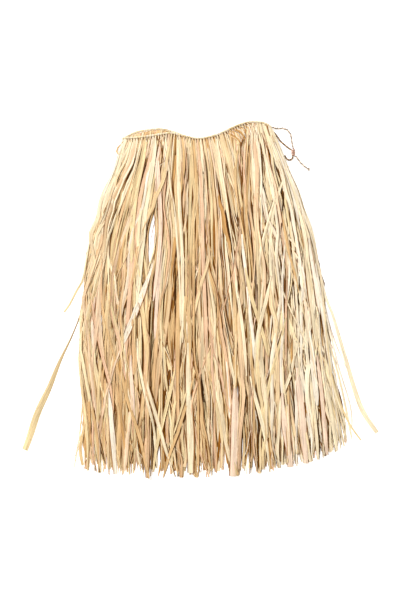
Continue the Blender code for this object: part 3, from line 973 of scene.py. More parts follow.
def drawn_route(run, hitch, wandering, reach, inside=0.0):
    """A strip's middle line from its hitch to its tip, on the table."""
    own = run.first + (run.last - run.first) * (hitch + 0.5) / run.hitches
    fan = fan_share(run, hitch + 0.5)
    fanned_out = 1 - (1 - np.clip(T / FANS_OUT_BY, 0, 1)) ** 2
    across = own + (fan + wandering - own) * fanned_out
    across = 1.0 - np.abs(1.0 - np.abs(across))
    return on_skirt(run.waist, inside + (1 - 2 * inside) * across, T * reach)


print("strips have fanned out by", FANS_OUT_BY, "of the way down")

# %% [markdown]
# ## Which colour goes where
#
# Leaf is greenish white when it is fresh, and the sun turns it to straw, tan
# and brown. So a strip changes its colour from the hitch to the tip. The skirt
# is also palest along its right side and at the waist on the left. Along the
# right side that paleness is in part painted light: it lifts the edge that the
# key light leaves in shade.


# %% Colours of a strip
TANNED = {"tan": 6, "straw": 5, "honey": 1, "pink": 2}
RIPE = {"straw": 5, "cream": 4, "tan": 3, "pink": 3}


def pick_leaf(odds, chance):
    """One leaf colour with some of another in it."""
    names = list(odds)
    shares = np.array(list(odds.values())) / sum(odds.values())
    first, second = chance.choice(names, 2, p=shares)
    mix = chance.uniform(0.0, 0.5)
    return (1 - mix) * np.array(LEAVES[first]) + mix * np.array(LEAVES[second])


def leaf_colours(kind, fan, chance):
    """The colours of a strip at its hitch and at its tip."""
    # painted shade: the lower passes are dark but tanned near the sides; painted light: paler strips
    # along the right side
    left, right = ramp((0.14 - fan) / 0.1), ramp((fan - 0.76) / 0.1)
    if kind in (LOWEST, INNER):
        edge = max(ramp((fan - 0.86) / 0.08), 0.9 * ramp((0.34 - fan) / 0.2))
        return pick_leaf(TANNED if chance.random() < edge else kind.leaves, chance)
    pale = right if kind is BACKING else max(0.9 * left, right, 0.15)
    start = RIPE if chance.random() < 0.6 else kind.leaves
    start = PALE.leaves if chance.random() < pale else start
    end = TANNED if chance.random() < 0.75 - fan else RIPE
    end = kind.leaves if kind is MIDDLE and chance.random() < 0.6 else end
    end = PALE.leaves if chance.random() < 0.9 * right else end
    return np.array((pick_leaf(start, chance), pick_leaf(end, chance)))


print("a tip may be", leaf_colours(OUTER, 0.5, np.random.default_rng(1))[-1].round(2))

# %% [markdown]
# ## The strips of a hitch
#
# A bundle is cut from many leaves, so its strips differ in width and length.
# Beside most strips a narrow dark line runs along one edge. It is painted
# shadow, and it is what makes each strip stand out from the next. It is a dark
# ribbon of its own, laid just before the strip that it belongs to.

# %% Strips of a hitch
UNEVEN_WIDTHS, WIDTH_LIMITS = 0.42, (1.8, 12)
SHORT = 0.08  # the share that end well above the hem
SHORT_REACH, FULL_REACH = (0.6, 0.95), (0.96, 1.004)
HIDDEN_SHORTER, HIDDEN_INSIDE = 0.02, 0.02
STRAIGHT_SHARE = 0.25  # how much of the drift a straight strip follows
GATHERS = (0.2, 0.8)  # how far a strip comes to the middle of its lock
SPLITS_OFF = (8, 40)  # where along its route, in steps of T, a split strip starts
OUTER_EDGES = (0.05, 0.92)  # beyond these shares the strips' edges are less brown and less shaded
CLEANER = 0.3
SHADOWED_SHARE = 0.62  # the share of strips with a painted shadow along one edge
SHADOW_WIDTH = (2.2, 5.4)  # how wide a painted shadow is
# how dark a painted shadow is, and how blunt its tip
SHADOW_DARKNESS, SHADOW_TIP = (0.4, 1.2), 0.3


def hitch_strip(run, hitch, lock, shared, kind, chance, partings):
    """One strip of a hitch, which keeps to its lock for the most part."""
    width = np.clip(chance.lognormal(math.log(kind.width), UNEVEN_WIDTHS), *WIDTH_LIMITS)
    reach = chance.uniform(*(SHORT_REACH if chance.random() < SHORT else FULL_REACH))
    reach -= HIDDEN_SHORTER if kind in HIDDEN else 0.0
    fan = fan_share(run, hitch + 0.5)
    crosses = chance.random() < CROSSING * (1 + ramp((fan - 0.55) / 0.15))
    own = wander(chance, OWN_CROSSING if crosses else OWN_LEAN)
    pitch = (run.to_share - run.from_share) / run.hitches
    gather = pitch * (lock.mean() - hitch) * chance.uniform(*GATHERS) * ramp((T - 0.06) / 0.5)
    inside = HIDDEN_INSIDE if kind in HIDDEN else 0.0
    place = hitch + chance.uniform(-0.3, 0.3)
    free = STRAIGHT_SHARE if kind in STRAIGHT else 1.0
    route = drawn_route(run, place, free * (shared + own + gather), reach, inside)
    if kind is SPLIT:
        route = route[int(chance.uniform(*SPLITS_OFF)) :]
    leaf = leaf_colours(kind, fan, chance)
    strip = Strip(parted(route, partings, width), width, leaf, chance, kind)
    if not OUTER_EDGES[0] < fan < OUTER_EDGES[1]:
        strip.torn_and_shaded = strip.torn_and_shaded - CLEANER
    return strip


def painted_shadow_edge(strip, chance):
    """A dark ribbon along one edge of a strip: painted shadow."""
    travel = np.gradient(strip.middle, axis=0)
    side = np.stack([-travel[:, 1], travel[:, 0]], axis=1)
    side *= chance.choice((-1, 1)) / np.linalg.norm(side, axis=1, keepdims=True)
    leaf = np.array(LEAVES["dark"]) * chance.uniform(*SHADOW_DARKNESS)
    route = strip.middle + side * (strip.width / 2)[:, None]
    return Strip(route, chance.uniform(*SHADOW_WIDTH), leaf, chance, SHADOW_EDGE, SHADOW_TIP)


def run_strips(run, kinds, chance, partings=THROUGH):
    """One strip of each kind for each hitch, laid lock by lock."""
    locks = locks_of(run.hitches, chance)
    strips = []
    for number in chance.permutation(len(locks)):
        lock, shared = locks[number], wander(chance, LOCK_LEAN)
        for kind in kinds:
            for hitch in chance.permutation(lock):
                strip = hitch_strip(run, hitch, lock, shared, kind, chance, partings)
                # painted shadow: a dark ribbon laid along one edge of many upper strips
                shadowed = shadows_here(fan_share(run, hitch))
                if kind in (OUTER, SPLIT) and chance.random() < shadowed:
                    strips.append(painted_shadow_edge(strip, chance))
                strips.append(strip)
    return strips


def shadows_here(fan):
    """The share of strips with a painted shadow: few at the left, most at the right."""
    times = 0.3 + 0.7 * ramp((fan - 0.12) / 0.2) + 0.4 * ramp((fan - 0.55) / 0.1)
    return times * SHADOWED_SHARE


print(f"folded edges: {shadows_here(0.0):.0%} at the left, {shadows_here(1.0):.0%} at the right")

# %% [markdown]
# ## Between the strips and over them
#
# At the bottom of a gap one would see the shaded strips of the inner passes.
# A dark strip is laid along each gap in their place: painted shade. A few thin
# fibres that have come loose lie over the strips, at an angle to them.

# %% Gap strips and fibres
GAP_PAINTED_SHADE = (0.6, 1.1)
GAP_FILL, GAP_TIP = 1.4, 0.4  # half widths of the gap, and mm at its pointed ends
FIBRE_START, FIBRE_STEPS = (0, 44), (6, 26)  # in steps of T
FIBRE_SLANT = 0.07
FIBRE_WIDTHS = (0.6, 1.4)


def gap_shade_strips(partings, chance):
    """Dark strips along the gaps: painted shade at the bottom of each gap."""
    strips = []
    for widest, points in partings:
        leaf = np.array(LEAVES["dark"]) * chance.uniform(*GAP_PAINTED_SHADE)
        strip = Strip(Route(points).evenly(24), 1.0, leaf, chance, LOWEST)
        pointed = np.sin(math.pi * strip.shares) ** 0.7
        strip.width = GAP_FILL * widest * pointed + GAP_TIP
        strips.append(strip)
    return strips


def loose_fibres(run, count, chance):
    """Thin fibres that lie over the strips at an angle to them."""
    fibres = []
    for _ in range(count):
        hitch = chance.uniform(0, run.hitches - 1)
        start = int(chance.uniform(*FIBRE_START))
        stop = min(len(T), start + int(chance.uniform(*FIBRE_STEPS)))
        route = drawn_route(run, hitch, wander(chance, OWN_CROSSING), 1.0)[start:stop]
        route[:, 0] += chance.normal(0, FIBRE_SLANT) * (route[:, 1] - route[0, 1])
        width = FIBRE.width * chance.uniform(*FIBRE_WIDTHS)
        fibres.append(Strip(route, width, pick_leaf(FIBRE.leaves, chance), chance, FIBRE))
    return fibres


print("a gap strip is up to", GAP_FILL * max(gap[0] for gap in DARK), "mm wide")

# %% [markdown]
# ## The back half
#
# It lies on the table and shows only at the waist, at the edges and through the
# gaps, so three plain passes of strips are enough.

# %% Back half
BACK_HITCHES = 59

chance = np.random.default_rng(21)
back = Run(BACK_WAIST, 0.0, 1.0, 0.0, 1.0, BACK_HITCHES)
strips = run_strips(back, (BACKING, BACKING), chance) + run_strips(back, (MIDDLE,), chance)
lay_all("back_raffia", strips, heap, chance, 2.0, "back_panel")

# %% [markdown]
# ## The front half
#
# Twelve passes of strips leave the same hitches: six dark and middling ones,
# then a dark strip of painted shade along each gap, then six of split and pale
# ones. The lowest are dark, painted shade, so the gaps between the locks end in
# deep brown, and the upper ones are pale and more deeply creased. Each layer
# leaves its hitches a little higher than the one below it.

# %% Front half, inner layers
HUMP = 0.842  # where the front half's hitches end and the overlap's begin
FRONT_HITCHES, TUCKED_HITCHES = 47, 8
HITCH_SHARE = HUMP / FRONT_HITCHES
TUCKED_FROM = HUMP - TUCKED_HITCHES * HITCH_SHARE
SMALL_GAPS = 170

chance = np.random.default_rng(22)
front = Run(FRONT_WAIST, 0.0, TUCKED_FROM, 0.0, 0.74, FRONT_HITCHES - TUCKED_HITCHES)
strips = run_strips(front, (LOWEST, LOWEST), chance) + run_strips(front, (INNER,), chance)
lay_all("front_raffia_inner", strips, heap, chance, 7.5, "front_panel")
GAPS = DARK + small_partings(SMALL_GAPS, chance)
strips = run_strips(front, (INNER, MIDDLE, MIDDLE), chance, GAPS + THROUGH)
lay_all("front_raffia_middle", strips, heap, chance, 8.5, "front_panel")

# %% Front half, gaps and outer layers
# painted shade: a dark strip along each gap
lay_all("front_gap_painted_shade", gap_shade_strips(GAPS, chance), heap, chance, None,
        "front_panel")
strips = run_strips(front, (SPLIT, OUTER, OUTER), chance, GAPS + THROUGH)
strips += run_strips(front, (OUTER, SPLIT, OUTER), chance, GAPS + THROUGH)
lay_all("front_raffia_outer", strips, heap, chance, 9.0, "front_panel")

# %% [markdown]
# ## The tucked strips
#
# At the right some of the front strips run along the waist first, turn down at
# a small pit, and go under the last hitches of the row. Each pass of them
# sweeps along the waist by its own share of the full arc.

# %% Tucked strips
ARC_MIDDLE = np.array((17.0, -5.0))
ARC_END = np.array((27.0, -17.0))
ARC_END_LAST = np.array((14.0, -22.0))
STRAIGHT_DROP = 8  # how far below its hitch a strip with no sweep turns
ARCS = ((LOWEST, 0.1), (LOWEST, 0.4), (INNER, 0.2), (MIDDLE, 0.0), (MIDDLE, 0.3), (MIDDLE, 0.8),
        (OUTER, 0.0), (OUTER, 0.1), (OUTER, 0.2), (OUTER, 0.4), (OUTER, 1.0))
TUCKED_WIDTH = 5.2
TUCKED_DRIFT = 0.006
TUCKED_DOWN = np.array((0.16, 0.4, 0.7, 1.0))


def tucked_route(run, hitch, chance, reach, sweep):
    """Along the waist for a share of the full arc, and then down under the overlap."""
    order = (hitch + 0.5) / run.hitches
    start = run.waist.at(run.first + (run.last - run.first) * order)
    drop = (0, STRAIGHT_DROP * (1 - sweep))
    turn = start + sweep * ((1 - order) * ARC_END + order * ARC_END_LAST) - drop
    fan = run.from_share + (run.to_share - run.from_share) * order
    fan = fan + TUCKED_DRIFT * chance.normal(0, 1, len(TUCKED_DOWN)).cumsum()
    rest = on_skirt(run.waist, fan, TUCKED_DOWN * reach)
    return Route([start, start + sweep * ARC_MIDDLE * (1 - 0.3 * order), turn, *rest]).evenly(90)


chance = np.random.default_rng(23)
tucked = Run(FRONT_WAIST, TUCKED_FROM, HUMP, 0.69, 0.96, TUCKED_HITCHES)
strips = []
for kind, sweep in ARCS:
    for hitch in range(tucked.hitches):
        shift = chance.uniform(-0.25, 0.25)
        route = tucked_route(tucked, hitch + shift, chance, chance.uniform(0.96, 1), sweep)
        strips.append(Strip(route, TUCKED_WIDTH, pick_leaf(kind.leaves, chance), chance, kind))
lay_all("tucked_raffia", strips, heap, chance, 8.0, "front_panel")

# %% [markdown]
# ## The overlap
#
# The last hitches of the row ride over the tucked strips, and their strips
# spread over the whole right side. They are few and have much to cover, so
# each of them gives nineteen passes. The loose fibres lie on top of it all.

# %% Overlap
OVERLAP_HITCHES = 9
RIGHT_OF = 60  # the gaps that start to the right of this place cut the overlap

overlap = Run(FRONT_WAIST, HUMP, 1.0, 0.70, 1.0, OVERLAP_HITCHES)
strips = run_strips(overlap, (LOWEST, LOWEST, INNER, INNER), chance)
strips += run_strips(overlap, (MIDDLE, SPLIT, MIDDLE), chance)
strips += run_strips(overlap, (MIDDLE, SPLIT, OUTER), chance)
lay_all("overlap_raffia_inner", strips, heap, chance, 10.5, "overlap_panel")
# painted shade along the gaps that cut the overlap
RIGHT_GAPS = tuple(gap for gap in GAPS if gap[1][0][0] > RIGHT_OF)
lay_all("overlap_gap_painted_shade", gap_shade_strips(RIGHT_GAPS, chance), heap, chance, None,
        "overlap_panel")
strips = []
for _ in range(3):
    strips += run_strips(overlap, (OUTER, SPLIT, OUTER), chance, GAPS + THROUGH)
lay_all("overlap_raffia_outer", strips, heap, chance, 11.5, "overlap_panel")
fibres = loose_fibres(front, 50, chance) + loose_fibres(overlap, 35, chance)
lay_all("loose_fibres", fibres, heap, chance, None, "front_panel")

# %% [markdown]
# ## Strips that stand out
#
# Some strips lie on top of all the others, wider, paler or at an angle to
# them, and give this skirt its own face. They are placed one by one, each with a
# leaf colour, a width, how blunt its tip is, and points down its middle. They
# are laid in this order, so a later one lies over an earlier one. The wide
# ones have a painted shadow along one edge too.

# %% Strips on top
Lone = namedtuple("Lone", "leaf width blunt points")
ON_TOP = (
    # long strips from the waist, and the pale ones of the middle and the hem
    Lone("pink", 11, 0.4, ((-110, 385), (-118, 338), (-132, 290), (-146, 230), (-156, 158),
                           (-163, 79), (-173, -46), (-178, -150))),
    Lone("blush", 9, 0.3, ((-96, 372), (-103, 326), (-102, 278), (-97, 235), (-94, 170),
                           (-96, 94), (-103, 2), (-108, -90))),
    Lone("cream", 6, 0.3, ((-89, 392), (-82, 350), (-74, 314), (-70, 266), (-61, 218),
                           (-53, 122), (-48, 26), (-46, -60))),
    Lone("cream", 7, 0.3, ((-53, 398), (-53, 338), (-50, 266), (-48, 206), (-43, 122),
                           (-41, 2), (-42, -100))),
    Lone("cream", 9, 0.3, ((41, 392), (48, 331), (60, 254), (74, 146), (89, 26), (103, -70),
                           (112, -180))),
    Lone("pink", 9, 0.3, ((-7, 388), (2, 290), (5, 194), (7, 94), (12, -22), (16, -150))),
    Lone("white", 14, 0.05, ((-113, 88), (-121, 62), (-133, 28), (-147, -8), (-161, -44),
                             (-173, -74), (-182, -102))),
    Lone("cream", 7, 0.2, ((212, 322), (190, 266), (175, 211), (169, 158), (168, 94),
                           (173, 2), (178, -90))),
    Lone("cream", 4, 0.2, ((185, 62), (206, 2), (230, -50), (257, -106), (283, -170), (295, -202))),
    Lone("cream", 4, 0.2, ((252, 160), (250, 122), (245, 26), (240, -58), (230, -122), (221, -156))),
    Lone("white", 9, 0.3, ((100, 160), (103, 118), (113, 38), (118, -22), (125, -82), (130, -146))),
    Lone("cream", 8, 0.3, ((60, 160), (62, 122), (67, 74), (74, 2), (79, -46))),
    Lone("white", 5, 0.3, ((204, 150), (202, 122), (197, 62), (197, 2), (199, -70), (197, -118))),
    Lone("cream", 18, 0.9, ((-28, -100), (-26, -226), (-24, -286), (-22, -346), (-22, -412))),
    Lone("white", 13, 0.7, ((-218, -200), (-214, -274), (-209, -334), (-203, -415))),
    Lone("blush", 8, 0.3, ((-252, 10), (-256, -40), (-257, -80), (-254, -120))),
    Lone("blush", 10, 0.3, ((-166, -130), (-164, -190), (-160, -240), (-157, -300))),
    Lone("tan", 8, 0.4, ((-190, -140), (-182, -202), (-166, -262), (-142, -334), (-122, -424))),
    Lone("cream", 10, 0.2, ((-132, -170), (-120, -226), (-101, -290), (-82, -358), (-60, -422))),
    Lone("cream", 2, 0.5, ((-175, -334), (-158, -350), (-137, -374))),
    Lone("cream", 2, 0.5, ((-67, -348), (-50, -362), (-31, -384))),
    Lone("cream", 8, 0.3, ((-150, -90), (-146, -146), (-130, -226), (-115, -281), (-106, -346),
                           (-103, -401))),
    Lone("cream", 8, 0.3, ((226, -130), (218, -170), (194, -238), (190, -298), (185, -358),
                           (192, -401))),
    Lone("blush", 18, 0.9, ((84, -200), (83, -274), (82, -346), (78, -420))),
    Lone("blush", 15, 0.8, ((196, -220), (202, -298), (211, -346), (216, -398))),
    Lone("blush", 15, 0.8, ((232, -160), (240, -238), (247, -310), (254, -389))),
    Lone("white", 5, 0.3, ((62, -110), (65, -154), (70, -226), (70, -286))),
    Lone("cream", 4, 0.6, ((-97, 324), (-91, 328), (-85, 336))),
    Lone("tan", 5, 0.3, ((106, 419), (118, 416), (126, 408), (125, 394), (119, 362), (116, 314),
                         (112, 242), (110, 150))),
    Lone("cream", 5, 0.4, ((176, 392), (196, 344), (219, 290), (238, 240), (256, 158), (276, 38),
                           (305, -82), (338, -202), (365, -334))),
    Lone("white", 5, 0.3, ((200, 336), (221, 288), (246, 206), (266, 110), (290, 2), (322, -94),
                           (353, -166))),
    Lone("white", 4, 0.3, ((206, 326), (228, 268), (252, 180), (278, 70), (305, -46),
                           (331, -154), (360, -250), (365, -310))),
    Lone("cream", 4, 0.3, ((-286, -310), (-293, -346), (-298, -377), (-302, -401))),
    Lone("straw", 1.8, 0.5, ((-290, -352), (-295, -362), (-302, -373), (-312, -371),
                             (-319, -372), (-322, -379))),
    # beside the gap at the upper left
    Lone("cream", 13, 0.3, ((-108, 390), (-110, 366), (-116, 316), (-126, 260), (-133, 200),
                            (-138, 140), (-146, 60), (-152, -10))),
    Lone("blush", 11, 0.3, ((-100, 352), (-100, 318), (-99, 278), (-96, 230), (-95, 160),
                            (-104, 60), (-112, 0))),
    Lone("straw", 8, 0.3, ((-128, 380), (-136, 330), (-152, 250), (-160, 170), (-164, 90))),
    Lone("straw", 8, 0.3, ((-22, 350), (-23, 290), (-24, 240), (-26, 180), (-27, 110))),
    # loose curls at the waist
    Lone("tan", 4.6, 0.5, ((-182, 384), (-190, 375), (-197, 368), (-200, 360), (-198, 352),
                           (-192, 348), (-186, 352))),
    Lone("cream", 8, 0.3, ((-83, 396), (-81, 378), (-78, 350), (-76, 310))),
    Lone("brown", 3, 0.3, ((-93, 386), (-93, 366), (-91, 344))),
    Lone("pink", 3.4, 0.5, ((-96, 386), (-98, 374), (-94, 362), (-97, 350), (-100, 336))),
    Lone("brown", 2.6, 0.5, ((-101, 388), (-95, 380), (-91, 368), (-93, 356), (-89, 344),
                             (-85, 336), (-89, 329), (-97, 327))),
    # the hump: rolled strips over dark ones at the waist on the right; the brown strips are painted
    # shade in the pit
    Lone("pink", 6, 0.2, ((118, 410), (112, 384), (107, 350), (106, 300), (108, 240))),
    Lone("honey", 16, 0.3, ((72, 396), (86, 389), (98, 378))),
    Lone("honey", 15, 0.3, ((84, 408), (98, 402), (108, 386))),
    Lone("brown", 8, 0.1, ((107, 394), (101, 384), (97, 368), (96, 346))),
    Lone("cream", 3.6, 0.3, ((62, 399), (76, 393), (88, 386), (95, 376))),
    Lone("white", 3.4, 0.3, ((69, 404), (83, 398), (94, 390), (99, 380))),
    Lone("white", 3.4, 0.3, ((76, 409), (90, 404), (100, 396), (104, 386))),
    Lone("white", 3.4, 0.3, ((82, 414), (97, 410), (106, 402), (109, 391))),
    Lone("cream", 3.6, 0.3, ((92, 419), (106, 416), (114, 407), (116, 393))),
    Lone("brown", 4.5, 0.1, ((103, 386), (98, 376), (96, 362), (96, 346))),
    Lone("white", 4.4, 0.3, ((102, 423), (114, 420), (121, 411), (122, 392), (121, 350))),
    Lone("cream", 4.4, 0.3, ((112, 425), (123, 421), (129, 408), (130, 380), (130, 330))),
    Lone("cream", 5, 0.2, ((90, 372), (90, 340), (88, 300), (86, 250), (88, 200))),
    Lone("brown", 2.0, 0.2, ((96, 382), (97, 360), (97, 330), (97, 295))),
    Lone("cream", 6, 0.3, ((124, 420), (124, 396), (125, 350), (128, 290), (134, 220))),
    Lone("cream", 5, 0.3, ((134, 422), (142, 396), (154, 350), (168, 300), (180, 240))),
    Lone("brown", 2.4, 0.2, ((132, 408), (139, 384), (148, 350), (155, 322))),
    Lone("brown", 2.4, 0.2, ((146, 402), (158, 372), (170, 330), (176, 300))),
    Lone("brown", 2.2, 0.2, ((118, 396), (119, 370), (116, 334), (113, 300))),
    # crossing strips at the lower left
    Lone("straw", 8, 0.4, ((-60, -165), (-72, -220), (-88, -285), (-103, -345), (-112, -410))),
    Lone("tan", 7, 0.3, ((-12, -170), (-30, -238), (-50, -305), (-74, -372), (-88, -424))),
    Lone("straw", 7, 0.3, ((-25, -190), (-42, -250), (-60, -310), (-76, -350))),
    Lone("tan", 7, 0.3, ((-280, -140), (-272, -200), (-256, -270), (-245, -340), (-243, -410))),
    Lone("pink", 8, 0.3, ((-262, 20), (-250, -60), (-232, -140), (-216, -200), (-207, -260))),
    Lone("tan", 6, 0.3, ((-238, 10), (-222, -70), (-200, -150), (-184, -220))),
    Lone("straw", 6, 0.3, ((-222, 40), (-208, -30), (-186, -110), (-170, -170))),
    # pale strips along the right side
    Lone("cream", 8, 0.3, ((166, 394), (186, 340), (203, 290), (216, 240), (226, 190))),
    Lone("white", 6, 0.3, ((178, 378), (196, 332), (213, 282), (228, 230), (239, 170))),
    Lone("cream", 8, 0.3, ((202, 324), (219, 282), (233, 236), (243, 190), (251, 140), (258, 90))),
    Lone("white", 5, 0.3, ((214, 306), (232, 262), (246, 214), (258, 156), (268, 96))),
    Lone("cream", 8, 0.3, ((236, 222), (247, 180), (256, 130), (266, 76), (275, 20), (282, -40))),
    Lone("white", 5, 0.2, ((222, 210), (230, 160), (241, 96), (255, 30), (268, -40), (276, -110))),
    Lone("cream", 7, 0.3, ((216, 190), (222, 140), (226, 90), (236, 30), (246, -30))),
    Lone("cream", 7, 0.3, ((244, 206), (252, 180), (260, 150), (267, 120), (275, 80))),
    # painted shade: a dark strip that looks like a gap
    Lone("shade", 5, 0.1, ((49, 276), (56, 236), (65, 186), (75, 130), (81, 80))),
    Lone("cream", 9, 0.6, ((262, -170), (270, -240), (277, -310), (283, -380))),
    Lone("white", 7, 0.6, ((228, -190), (231, -260), (230, -330), (232, -396))),
    Lone("blush", 10, 0.7, ((280, -130), (290, -210), (297, -290), (304, -368))),
    Lone("cream", 9, 0.6, ((300, -190), (311, -250), (320, -310), (328, -358))),
    Lone("white", 4, 0.5, ((300, -100), (313, -180), (324, -260), (338, -344))),
    Lone("white", 11, 0.3, ((260, 150), (267, 100), (277, 40), (287, -30))),
    Lone("cream", 11, 0.3, ((250, 120), (257, 60), (265, 0), (272, -60), (279, -120))),
    Lone("white", 8, 0.3, ((276, 90), (285, 30), (295, -40), (306, -110), (316, -170))),
    Lone("white", 12, 0.4, ((262, -70), (268, -130), (274, -190), (280, -250))),
    # dark strips of painted shade, which look like gaps
    Lone("shade", 4, 0.1, ((38, 25), (39, -10), (37, -56))),
    Lone("shade", 4, 0.1, ((-59, 80), (-60, 20), (-59, -60))),
    Lone("shade", 3.6, 0.1, ((156, -84), (155, -140), (154, -195))),
    Lone("shade", 4, 0.1, ((193, 112), (192, 80), (190, 45))),
    Lone("shade", 3.6, 0.1, ((238, 60), (236, 20), (233, -17))),
    Lone("shade", 4, 0.1, ((259, -84), (262, -140), (267, -194))),
    Lone("shade", 4, 0.1, ((200, 262), (197, 210), (193, 160))),
    Lone("shade", 4, 0.1, ((146, 290), (158, 254), (170, 218))),
    Lone("shade", 3.6, 0.1, ((43, 105), (42, 60), (41, 15))),
    Lone("shade", 4, 0.1, ((91, 60), (91, 24), (91, -12))),
    Lone("shade", 3.6, 0.1, ((138, -228), (140, -300), (139, -370))),
    Lone("shade", 3.6, 0.1, ((216, -150), (222, -210), (226, -270))),
    # strips that cross the others at the right
    Lone("straw", 8, 0.3, ((108, 80), (120, 20), (138, -40), (152, -84), (162, -130))),
    Lone("cream", 9, 0.3, ((170, 60), (158, 0), (143, -60), (134, -110), (131, -160))),
    Lone("straw", 8, 0.3, ((205, -40), (192, -100), (172, -170), (158, -240), (150, -300))),
    Lone("cream", 9, 0.3, ((120, -180), (132, -230), (148, -290), (160, -350), (168, -410))),
    Lone("cream", 8, 0.3, ((180, 250), (166, 200), (150, 140), (140, 90), (137, 40))),
    Lone("tan", 6, 0.3, ((196, 214), (204, 160), (214, 110), (228, 60), (236, 20))),
)
print(len(ON_TOP), "strips placed by hand")

# %% Laying the strips on top
RESTS_LOOSELY = 0.4  # how far they lie above their support
SHADOWED_FROM = 6  # only strips wider than this have a painted shadow along one edge

chance = np.random.default_rng(25)
strips = []
for lone in ON_TOP:
    route = Route(lone.points).evenly(64)
    strip = Strip(route, lone.width, LEAVES[lone.leaf], chance, LONE, lone.blunt)
    strip.lift = RESTS_LOOSELY
    if lone.width > SHADOWED_FROM:
        strips.append(painted_shadow_edge(strip, chance))
    strips.append(strip)
lay_all("topmost_raffia", strips, heap, chance, None, "front_panel")

# %% [markdown]
# ## Strays
#
# Four strips have come away from the rest and lie on the table beside the
# skirt. Two leave the hitch at the fold, and two leave the back half at the
# right. They stand alone, so both their route and their width are listed:
# each row is a place on the table, and how wide the strip is there.

# %% Strays
STRAY_CLEAN = 0.3  # how much less brown and less painted shade their edges have

chance = np.random.default_rng(24)
Stray = namedtuple("Stray", "leaf node rows")
STRAYS = (
    # painted shade: this stray is dark near its hitch, where it runs in shade along the skirt's edge
    Stray(("dark", "straw"), "fold_hitch", (
        (-186, 388, 2), (-191, 364, 2.5), (-200, 324, 3), (-234, 244, 3), (-260, 160, 3),
        (-272, 80, 3), (-283, -15, 2.5), (-305, -79, 3), (-336, -144, 5),
        (-362, -209, 11), (-389, -266, 15), (-408, -324, 17), (-420, -357, 14),
    )),
    Stray(("white", "straw"), "fold_hitch", (
        (-185, 389, 2.5), (-191, 364, 3), (-201, 323, 3.5), (-235, 243, 3.5), (-261, 160, 3.5),
        (-273, 95, 3.5), (-281, 51, 4.5), (-298, 21, 5.5), (-312, -7, 5.5), (-326, -27, 4.5),
    )),
    Stray(("white", "cream"), "back_panel", (
        (168, 405, 2.5), (195, 352, 3.5), (213, 302, 3.5), (237, 242, 3.5), (265, 158, 3.5),
        (287, 70, 4.5), (301, 10, 5.5), (318, -32, 7), (336, -94, 8.5), (353, -151, 9.5),
        (370, -209, 11), (391, -266, 12), (425, -316, 10),
    )),
    Stray(("white", "straw"), "back_panel", (
        (168, 405, 2), (195, 352, 3), (213, 302, 3.5), (237, 242, 3.5), (265, 158, 3.5),
        (287, 70, 4), (297, -22, 4.5), (307, -118, 5), (319, -195, 5), (353, -285, 5),
        (386, -334, 4),
    )),
)


def stray_strip(stray, chance):
    """A strip whose width is stated at each of its points."""
    rows = np.array(stray.rows, dtype=float)
    leaf = np.array([LEAVES[name] for name in stray.leaf])
    strip = Strip(Route(rows[:, :2]).evenly(64), 1.0, leaf, chance, LONE, 0.3)
    strip.width = np.interp(strip.shares, np.linspace(0, 1, len(rows)), rows[:, 2])
    strip.torn_and_shaded = strip.torn_and_shaded - STRAY_CLEAN
    return strip


for node, slot in (("fold_hitch", "raffia_stray"), ("back_panel", "raffia_back")):
    strips = [stray_strip(stray, chance) for stray in STRAYS if stray.node == node]
    lay_all(f"strays_of_{node}", strips, heap, chance, 2.5, node)

# %% [markdown]
# ## The hitches
#
# Each bundle is folded in half, and its loop goes round the waist cord: a
# lark's head. From above it shows as two bands over the cord and a small bar
# across them, and the cord itself shows between one hitch and the next. Each is
# built, as bumps in a flat heading would show no cord under them.
#
# Just below the cord, a dark hole is left between each two hitches, where one
# looks down into the bundle. A short dark strip, painted shade, stands for each
# of them.

# %% Holes below the hitches
HOLE_START, HOLE_END = 2.4, (8, 15)  # how far below the cord
HOLE_PAINTED_SHADE = (0.5, 1.0)
HOLE_WIDTH, HOLE_NARROWS = (1.4, 2.8), 0.7


def shade_in_holes(waist, last, hitches, chance):
    """A short dark strip of painted shade in each hole between two hitches, below the cord."""
    holes = []
    for hitch in range(1, hitches):
        share = last * hitch / hitches
        place, square = waist.at(share), waist.hemward(share)
        ends = (place + HOLE_START * square, place + chance.uniform(*HOLE_END) * square)
        # painted shade: the strip in each hole is dark
        leaf = np.array(LEAVES["dark"]) * chance.uniform(*HOLE_PAINTED_SHADE)
        hole = Strip(Route(ends).evenly(8), 1.0, leaf, chance, LOWEST)
        hole.width = chance.uniform(*HOLE_WIDTH) * (1 - HOLE_NARROWS * hole.shares)
        holes.append(hole)
    return holes


holes = shade_in_holes(FRONT_WAIST, HUMP, FRONT_HITCHES, np.random.default_rng(32))
lay_all("painted_shade_below_hitches", holes, heap, chance, None, "front_panel")

# %% One hitch
BAND_RADIUS, BAND_THICKNESS, BAND_SPREAD = 2.0, 0.55, 1.25
BAND_PLACES = (-1.35, 1.35)  # along the cord, from the middle of the hitch
BAND_STEPS = 13
BAND_SECTION = ((-1, 0), (-0.5, 0.5), (0.5, 0.5), (1, 0), (0.5, -0.5), (-0.5, -0.5))
# The bar bulges towards the hem and rises in its middle, and droops at its ends.
BAR_HALF, BAR_RADIUS, BAR_STEPS, BAR_SIDES = 2.4, 0.62, 9, 6
BAR_BELOW, BAR_BULGE, BAR_RISE, BAR_DROOP = 1.5, 1.1, 0.9, 1.2
BAR_SHADE = 0.94


